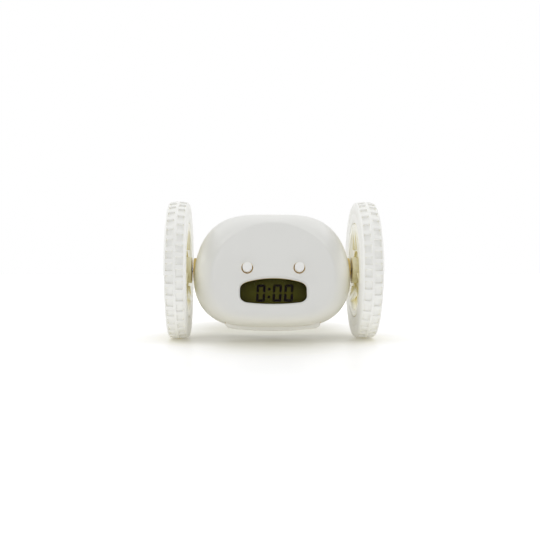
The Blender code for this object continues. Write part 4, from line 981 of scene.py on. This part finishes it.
def makeSnoozeKey():
    edge, end = snoozeKey["edge"], snoozeKey["postEnd"]
    low, high = snoozeKey["flangeLow"], snoozeKey["flangeHigh"]
    rings = [[(0.0, 0.0, topHeight(0.0, 0.0))]]
    for share in snoozeKey["crown"]:
        outline = ellipse(snooze["halfLength"] * share, snooze["halfWidth"] * share, snooze["around"])
        rings.append([(u, v, topHeight(u, v)) for u, v in outline])
    for a, b in snoozeKey["rim"]:
        rings.append([(u, v, topHeight(u, v) - b * edge) for u, v in snoozeOutline(a * edge)])
    flange, post = snoozeOutline(snoozeKey["border"]), circle(snoozeKey["post"], snooze["around"])
    for outline, h in ((snoozeOutline(0.0), high), (flange, high), (flange, low), (post, low), (post, end)):
        rings.append([(u, v, h) for u, v in outline])
    return loft("snoozeKey", [*rings, [(0.0, 0.0, end)]])


def makeSpring():
    low, high, wire = spring["low"], spring["high"], spring["wire"]
    steps = spring["turns"] * spring["stepsPerTurn"]
    rings = []
    for step in range(steps + 1):
        turn = fullTurn * step / spring["stepsPerTurn"]
        along = low + wire + (high - low - 2.0 * wire) * step / steps
        ring = [(spring["radius"] + u, along + v) for u, v in circle(wire, 8)]
        rings.append([(r * math.cos(turn), r * math.sin(turn), h) for r, h in ring])
    return loft("spring", rings)


for side, name in names.items():
    node = f"{name}_eye_button"
    place(makeEyeButton(side), f"{name}EyeButton", node, "button_plastic", [node])
place(makeSnoozeKey(), "snoozeKey", "snooze_button", "button_plastic", ["snooze_button"])
coil = place(makeSpring(), "snoozeSpring", "housing", "steel", ["snooze_spring"], angle=60.0)
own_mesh(coil)
print("buttons made")


# battery door: bowed underside, rounded edges, thumb nub and grip ribs

nubSteps = ((0.25, 0.6), (0.25, 0.0), (0.02, -0.15), (0.0, -0.75), (-0.25, -1.15), (-0.8, -1.3))


def makeDoor():
    facing = columns((1, 0, 0), (0, 0, 1), (0, -1, 0), origin)
    outline, half = doorOutline(), door["halfWidth"]
    skin = soften(slab("doorSkin", [(outline, -half), (outline, half)], facing), door["edge"], 4, 25.0)
    carve(skin, bodySolid(door["inner"]))
    low, y = door["low"], door["nubY"]
    rings = [[(0.0, y, low + nubSteps[0][1])]]
    for border, h in nubSteps:
        oval = ellipse(door["nubLength"] + border, door["nubWidth"] + border, 48)
        rings.append([(u, v + y, low + h) for u, v in oval])
    join(skin, loft("nub", [*rings, [(0.0, y, low - door["nubHeight"])]]))
    rib = roundedBox(door["ribLength"], 0.35, 0.3)
    tip = roundedBox(door["ribLength"] - 0.2, 0.15, 0.14)
    copy = slab("rib", [(rib, low + 0.5), (rib, low - door["ribHeight"] * 0.5), (tip, low - door["ribHeight"])],
                topFrame(door["ribY"]))
    return join(skin, grow("ribs", rowCopies, copy, "shell_plastic", (0.0, door["ribY"], low),
                           Count=door["ribs"], Step=(0.0, door["ribStep"] * millimetre, 0.0)))


place(makeDoor(), "doorSkin", "battery_door", "shell_plastic", ["battery_door"])
print("battery door made")


# wheels

tyre = {
    "centre": 59.9, "radius": 44.5, "blocks": 37, "pocketShare": 0.68, "crownEase": 1.3,
    "pocketInner": 0.8, "pocketOuter": 5.2, "pocketDepth": 1.2, "crownDrop": 0.6,
    "wallLine": ((5.75, 43.55), (6.2, 43.1), (6.43, 42.5), (6.5, 41.8), (6.5, 37.3), (6.33, 37.0), (6.33, 36.2),
                 (6.5, 35.9), (6.5, 32.6), (6.37, 31.2), (6.15, 30.75), (5.95, 30.6)),
}
pocketEdge = ((-0.28, 0.0), (-0.1, 0.015), (0.0, 0.07), (0.1, 0.5), (0.2, 0.93), (0.45, 1.0))
rim = {
    "profile": ((-8.0, 1.8, 0.2), (-8.0, 8.5, 0.7), (-3.3, 8.5, 0.5), (-3.3, 12.5, 0.4), (-4.7, 12.5, 0.3),
                (-4.7, 13.6, 0.4), (-6.2, 27.6, 0.0), (-6.2, 30.3, 0.4), (6.2, 30.3, 0.4), (6.2, 27.6, 0.5),
                (-3.7, 27.6, 1.4), (-2.2, 13.6, 1.0), (-0.8, 6.5, 1.2), (3.6, 6.5, 0.7), (3.6, 1.8, 0.2)),
    "segments": 192, "spokes": 3, "windowInner": 14.9, "windowOuter": 26.5, "halfAtHub": 11.0, "halfAtRim": 9.8,
    "stepsAtHub": 8, "stepsAtRim": 22, "windowMiddle": 21.5, "windowCorner": 1.8, "webThickness": 2.5,
    "webStart": 13.6, "webLevel": -4.7, "webFall": 1.5, "webSpan": 14.0, "ribWidth": 0.8, "ribSpread": 5.2,
    "ribInner": 13.2, "ribOuter": 27.8, "ribLevels": (((-6.2, -6.2), (-4.3, -5.3)), ((-2.7, -3.7), (1.3, 2.1))),
}
wheelScrew = {"tip": 57.7, "tipEdge": 0.1, "shank": 0.6, "seat": 63.8, "head": 3.0, "height": 1.6, "edge": 0.9,
              "cross": 1.6, "around": 48, "steps": 6}


def sunk(distance):  # share of the pocket depth this far inside its edge
    if distance <= pocketEdge[0][0]:
        return 0.0
    for (a, low), (b, high) in zip(pocketEdge, pocketEdge[1:]):
        if distance <= b:
            return low + (high - low) * (distance - a) / (b - a)
    return 1.0


def mirrored(places):
    return sorted({-place for place in places} | places)


def treadSector(side):  # one pitch of the tyre: an inner pocket and two halves of outer ones
    radius, inner, outer = tyre["radius"], tyre["pocketInner"], tyre["pocketOuter"]
    arc = fullTurn * radius / tyre["blocks"]
    halfPocket = tyre["pocketShare"] / 2.0 * arc
    halfRib = arc / 2.0 - halfPocket
    offsets = [d for d, _ in pocketEdge]
    stations = mirrored({0.0, 0.45 * halfRib, 0.5 * (halfRib + halfPocket), 0.5 * (halfPocket + 0.5 * arc), 0.5 * arc}
                        | {halfPocket - d for d in offsets} | {halfRib + d for d in offsets})
    across = mirrored({0.0, 0.5 * (inner + outer)} | {inner + d for d in offsets} | {outer - d for d in offsets})
    wall = tyre["wallLine"]
    points, faces = [], []
    for s in stations:
        angle = -quarterTurn + s / radius
        line = []
        for x in across:
            fall = tyre["crownDrop"] * max(0.0, (abs(x) - inner) / (outer - inner)) ** tyre["crownEase"]
            inside = halfPocket - abs(s) if x < 0.0 else abs(s) - halfRib
            depth = tyre["pocketDepth"] * sunk(inside) * sunk(min(abs(x) - inner, outer - abs(x)))
            line.append((x, radius - fall - depth))
        line += [*wall, *((-x, r) for x, r in wall[::-1])]
        points += [(side * (tyre["centre"] + x), r * math.cos(angle), r * math.sin(angle)) for x, r in line]
    count = len(across) + 2 * len(wall)
    for column in range(len(stations) - 1):
        for i in range(count):
            a, b = column * count + i, column * count + (i + 1) % count
            faces.append((a, b, b + count, a + count))
    return objectFrom("sector", points, faces)


def makeTyre(side):
    return grow("tyre", ringCopies, treadSector(side), "tyre_rubber", origin, 0.01,
                Count=tyre["blocks"], Axis=(1.0, 0.0, 0.0))


def rimWindow(border, turn):  # opening between two spokes, as (u, v) round the axle
    corners = []
    for radius, half, count in ((rim["windowInner"] - border, rim["halfAtHub"] - border, rim["stepsAtHub"]),
                                (rim["windowOuter"] + border, rim["halfAtRim"] - border, rim["stepsAtRim"])):
        spread = halfTurn / rim["spokes"] - math.asin(half / radius)
        arc = []
        for i in range(count + 1):
            angle = turn - spread + 2.0 * spread * i / count
            corner = rim["windowCorner"] + border * 0.5 if i in (0, count) else 0.0
            arc.append((radius * math.cos(angle), radius * math.sin(angle), corner))
        corners += arc[::-1] if corners else arc
    return rounded(corners, closed=True, steps=5)


def webLevel(u, v):  # inner face of the web
    return rim["webLevel"] - rim["webFall"] * (math.hypot(u, v) - rim["webStart"]) / rim["webSpan"]


def rimOpening(turn, spot):
    thick, far = rim["webThickness"], rim["windowMiddle"]
    middle = (far * math.cos(turn), far * math.sin(turn))
    steps = ((0.75, -1.2), (0.42, 0.0), (0.13, 0.14), (0.0, 0.42), (0.0, thick - 0.42), (0.13, thick - 0.14),
             (0.42, thick), (0.75, thick + 1.2))
    rings = [[(u, v, webLevel(u, v) + rise) for u, v in rimWindow(border, turn)] for border, rise in steps]
    return loft("opening", [[(*middle, -12.0)], *rings, [(*middle, 3.0)]], spot)


def makeRim(side):
    spot, spokes = sideFrame(side, tyre["centre"]), rim["spokes"]
    disc = lathe("rim", rim["profile"], rim["segments"], spot, closed=True)
    turns = [side * (quarterTurn + halfTurn / spokes * (2 * index + 1)) for index in range(spokes)]
    carve(disc, join(*(rimOpening(turn, spot) for turn in turns)))
    half, start, end = rim["ribWidth"] / 2.0, rim["ribInner"], rim["ribOuter"]
    ribs = []
    for spread in (-rim["ribSpread"], rim["ribSpread"]):
        for low, high in rim["ribLevels"]:
            outline = [(start, low[0]), (end, low[1]), (end, high[1]), (start, high[0])]
            rings = [[(spread + offset, side * r, z) for r, z in outline] for offset in (-half, half)]
            ribs.append(loft("rib", rings, spot))
    return join(disc, grow("ribs", ringCopies, join(*ribs), "rim_plastic", (side * tyre["centre"], 0.0, 0.0),
                           Count=spokes, Axis=(1.0, 0.0, 0.0)))


def crossRecess(radius, spot, start, depth=1.0):  # tool for a cross slot, its arms taper downwards
    wide, deep = roundedBox(radius, radius * 0.22, 0.1), roundedBox(radius * 0.45, radius * 0.13, 0.05)
    return carve(*(slab("arm", [(deep, start - depth), (wide, start + 0.05), (wide, start + 1.0)],
                        spot @ Matrix.Rotation(turn, 4, "Z")) for turn in (0.0, quarterTurn)), operation="UNION")


def makeScrew(size, spot):
    tip, seat, shank, head = size["tip"], size["seat"], size["shank"], size["head"]
    top = seat + size["height"]
    profile = ((tip, 0.0, 0.0), (tip, shank, size["tipEdge"]), (seat, shank, 0.0), (seat, head, 0.15),
               (top, head, size["edge"]), (top, 0.0, 0.0))
    screw = lathe("screw", profile, size["around"], spot, steps=size["steps"])
    return carve(screw, crossRecess(size["cross"], spot, top))


def makeBush(side):
    start, flangeEnd, end, bore = bush["flangeStart"], bush["flangeEnd"], bush["end"], bush["bore"]
    flange, radius, floor = bush["flange"], bush["radius"], end - bush["groove"]
    a, b, c, d = bush["grooveEdges"]
    profile = ((start, bore, 0.2), (start, flange, 0.2), (flangeEnd, flange, 0.2), (flangeEnd, radius, 0.0),
               (end, radius, 0.6), (end, a, 0.2), (floor, b, 0.3), (floor, c, 0.3), (end, d, 0.2), (end, bore, 0.2))
    return lathe("bush", profile, 96, sideFrame(side), closed=True)


for side, name in names.items():
    wheel = f"{name}_wheel"
    place(makeTyre(side), f"{name}Tyre", wheel, "tyre_rubber", [f"{name}_tyre"], angle=60.0)
    place(makeRim(side), f"{name}Rim", wheel, "rim_plastic", [f"{name}_wheel_rim"])
    place(makeScrew(wheelScrew, sideFrame(side)), f"{name}WheelScrew", wheel, "steel", [f"{name}_wheel_screw"])
    place(makeBush(side), f"{name}Bush", "housing", "bush_plastic", [f"{name}_axle_bush"], "button_plastic")
print("wheels made")


# controls, screws and speaker of the back

housingScrew = {"tip": -7.0, "tipEdge": 0.3, "shank": 1.1, "seat": well["seat"], "head": 2.3, "height": 1.7,
                "edge": 0.7, "cross": 1.4, "around": 40, "steps": 5}
slider = {"halfLength": 1.8, "halfHeight": 1.4, "proud": 1.0, "low": 22.9, "skirtLength": 5.4, "skirtHeight": 2.6,
          "skirtThickness": 3.6, "ridges": 4, "ridgeStep": 0.8}
speaker = ((14.6, 0.0, 0.0), (14.6, 7.5, 0.4), (18.8, 7.5, 0.2), (19.8, 9.0, 0.2), (22.8, 14.0, 0.2),
           (24.2, 14.0, 0.2), (24.2, 12.6, 0.2), (23.6, 12.2, 0.3), (23.9, 11.4, 0.5), (23.4, 10.6, 0.3),
           (20.8, 4.6, 0.3), (21.6, 3.0, 0.6), (22.1, 0.0, 0.0))


def makeScrews():
    mesh = bpy.data.meshes.new("spots")
    mesh.from_pydata([toWorld((x, 0.0, h)) for x, h in wellPlaces()], [], [])
    return grow("screws", spotCopies, makeScrew(housingScrew, rearFrame()), "steel", origin,
                Spots=centred(addObject("spots", mesh), origin))


def makeRearButton(side):
    x, h, r = side * rear["across"], rear["row"], rear["radius"]
    top, end, stem = rearDepth(x, h) + rear["proud"], rear["stemEnd"], rear["stem"]
    low, high, flange = rear["flangeStart"], rear["flangeEnd"], r + rear["flangeBorder"]
    profile = ((end, 0.0, 0.0), (end, stem, 0.0), (low, stem, 0.0), (low, flange, 0.1),
               (high, flange, 0.1), (high, r, 0.0), (top, r, 0.45), (top, r * 0.72, 0.2),
               (top - 0.3, r * 0.6, 0.3), (top - 0.35, 0.0, 0.0))
    return lathe("button", profile, 56, rearFrame(x, h), steps=5)


def makeSlider():
    spot = rearFrame(0.0, rear["row"])
    length, height = slider["halfLength"], slider["halfHeight"]
    top = rearDepth(0.0, rear["row"]) + slider["proud"]
    low, high = slider["low"], slider["low"] + slider["skirtThickness"]
    skirt = roundedBox(slider["skirtLength"], slider["skirtHeight"], 0.4)
    block, tip = roundedBox(length, height, 0.3), roundedBox(length - 0.15, height - 0.15, 0.25)
    knob = slab("knob", [(skirt, low), (skirt, high), (block, high), (block, top - 0.4), (tip, top - 0.25)], spot)
    bar, crest = roundedBox(0.22, height - 0.2, 0.1), roundedBox(0.08, height - 0.3, 0.05)
    ridge = slab("ridge", [(bar, top - 0.6), (bar, top - 0.15), (crest, top)], spot)
    return join(knob, grow("ridges", rowCopies, ridge, "dark_plastic", (0.0, 0.0, rear["row"]),
                           Count=slider["ridges"], Step=(slider["ridgeStep"] * millimetre, 0.0, 0.0)))


place(makeScrews(), "housingScrews", "housing", "steel",
      ["left_upper_screw", "right_upper_screw", "left_lower_screw", "right_lower_screw"])
for side, name in names.items():
    node = f"{name}_rear_button"
    place(makeRearButton(side), f"{name}RearButton", node, "button_plastic", [node])
place(makeSlider(), "alarmKnob", "alarm_switch", "dark_plastic", ["alarm_switch"])
place(lathe("speaker", speaker, 72, rearFrame(0.0, rear["grilleUp"]), steps=4), "speakerCone", "housing",
      "dark_plastic", ["speaker"])
print("back made")


# the other CAD nodes keep their meshes and take the finish of their slot

for node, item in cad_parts.items():
    for holder in item.material_slots:
        label = holder.material.name.split(".")[0] if holder.material else ""
        if label not in finishes:
            print("no finish for", node, label)
        else:
            holder.material = finishes[label]
print("frame nodes finished")


# floor, light and camera, in metres and watts

stage = {
    "floorHalf": 6.0, "floorColour": (0.80, 0.80, 0.80), "floorPaintedShade": (0.62, 0.58, 0.42),
    "shadeReach": 45.0, "shadeSpan": (0.2, 0.9),  # reach in millimetres
    "gloss": 0.15, "paperScale": 40.0, "paperSpan": (0.3, 0.7), "paperRough": (0.30, 0.36), "poolStart": 0.3,
    # the pool is a painted shadow on the floor under the clock
    "poolAt": (0.0, 0.05, 0.0), "poolSpread": (0.095, 0.20, 1.0), "paintedShadowColour": (0.50, 0.485, 0.39),
    "paintedShadowGlow": 0.35, "floorGlow": 0.25, "farGlow": 0.75, "glowNear": 0.16, "glowFar": 0.42,
    "world": 0.48, "background": 1.0,
    "lens": 52.27, "sensor": 36.0, "distance": 512.6, "yaw": 1.9, "aside": -1.2,  # lengths in millimetres
}
lamps = {  # power, size and place
    "overhead": (2.7, 1.3, (0.0, 0.05, 1.15)), "fill": (1.8, 1.2, (-0.2, -1.3, 0.30)),
    "leftSide": (4.0, 0.8, (-0.9, 0.1, 0.8)), "rightSide": (4.0, 0.8, (0.9, 0.1, 0.8)),
}


def seenDirectly(tree):  # one where the camera, a mirror or a lens looks
    path = tree.nodes.new("ShaderNodeLightPath").outputs
    first = reckon(tree, "MAXIMUM", path["Is Camera Ray"], path["Is Glossy Ray"])
    return reckon(tree, "MAXIMUM", first, path["Is Transmission Ray"])


def makeFloor():  # paper that glows towards the horizon, with painted shade near the clock and a soft painted shadow under it
    half = stage["floorHalf"]
    mesh = bpy.data.meshes.new("floor")
    mesh.from_pydata([(-half, -half, 0.0), (half, -half, 0.0), (half, half, 0.0), (-half, half, 0.0)], [],
                     [(0, 1, 2, 3)])
    finish, tree, where = newFinish("floorPaper")
    # painted shade: the floor takes its darker shade colour where ambient occlusion finds it shut in near the clock
    away = remap(tree, openness(tree, stage["shadeReach"], 16), *stage["shadeSpan"])
    # painted shadow: a soft oval pool under the clock, seen only by the camera, mirrors and lenses, darkens the floor
    # and dims its glow
    reach = ovalFrom(tree, where, stage["poolAt"], stage["poolSpread"])
    within = remap(tree, reach, stage["poolStart"], 1.0, 1.0, 0.0, "SMOOTHSTEP")
    paintedShadow = reckon(tree, "MULTIPLY", within, seenDirectly(tree))
    farther = remap(tree, lengthOf(tree, where), stage["glowNear"], stage["glowFar"])
    seen = reckon(tree, "MULTIPLY", farther, seenDirectly(tree))
    glow = reckon(tree, "MULTIPLY", remap(tree, seen, 0.0, 1.0, stage["floorGlow"], stage["farGlow"]),
                  remap(tree, paintedShadow, 0.0, 1.0, 1.0, stage["paintedShadowGlow"]))
    shaded = mixed(tree, away, stage["floorPaintedShade"], stage["floorColour"])
    paper = noise(tree, where, stage["paperScale"])
    dress(finish, {
        "Base Color": mixed(tree, paintedShadow, shaded, stage["paintedShadowColour"]), "Specular IOR Level": stage["gloss"],
        "Roughness": remap(tree, paper, *stage["paperSpan"], *stage["paperRough"]),
        "Emission Color": white, "Emission Strength": glow})
    mesh.materials.append(finish)
    addObject("floor", mesh)


def makeWorld():
    world = bpy.data.worlds.new("studio")
    bpy.context.scene.world = world
    world.use_nodes = True
    tree = world.node_tree
    strength = remap(tree, seenDirectly(tree), 0.0, 1.0, stage["world"], stage["background"])
    feed(tree, tree.nodes["Background"], {"Color": white, "Strength": strength})


def aim(item, position, direction):
    item.location = position
    item.rotation_euler = direction.to_track_quat("-Z", "Y").to_euler()
    return item


def makeLamp(name, power, size, position):
    lamp = bpy.data.lights.new(name, "AREA")
    lamp.energy = power
    lamp.shape = "SQUARE"
    lamp.size = size
    aim(addObject(name, lamp), position, Vector(toWorld(origin)) - Vector(position))


def makeCamera():
    camera = bpy.data.cameras.new("photoCamera")
    camera.lens = stage["lens"]
    camera.sensor_width = stage["sensor"]
    camera.clip_start = 0.01
    yaw = math.radians(stage["yaw"])
    forward = Vector((math.sin(yaw), math.cos(yaw), 0.0))
    right = Vector((math.cos(yaw), -math.sin(yaw), 0.0))
    spot = toWorld(right * stage["aside"] - forward * stage["distance"])
    bpy.context.scene.camera = aim(addObject("photoCamera", camera), spot, forward)


makeFloor()
makeWorld()
for name, lamp in lamps.items():
    makeLamp(name, *lamp)
makeCamera()
bpy.context.scene.view_settings.view_transform = "Standard"
print("stage ready")
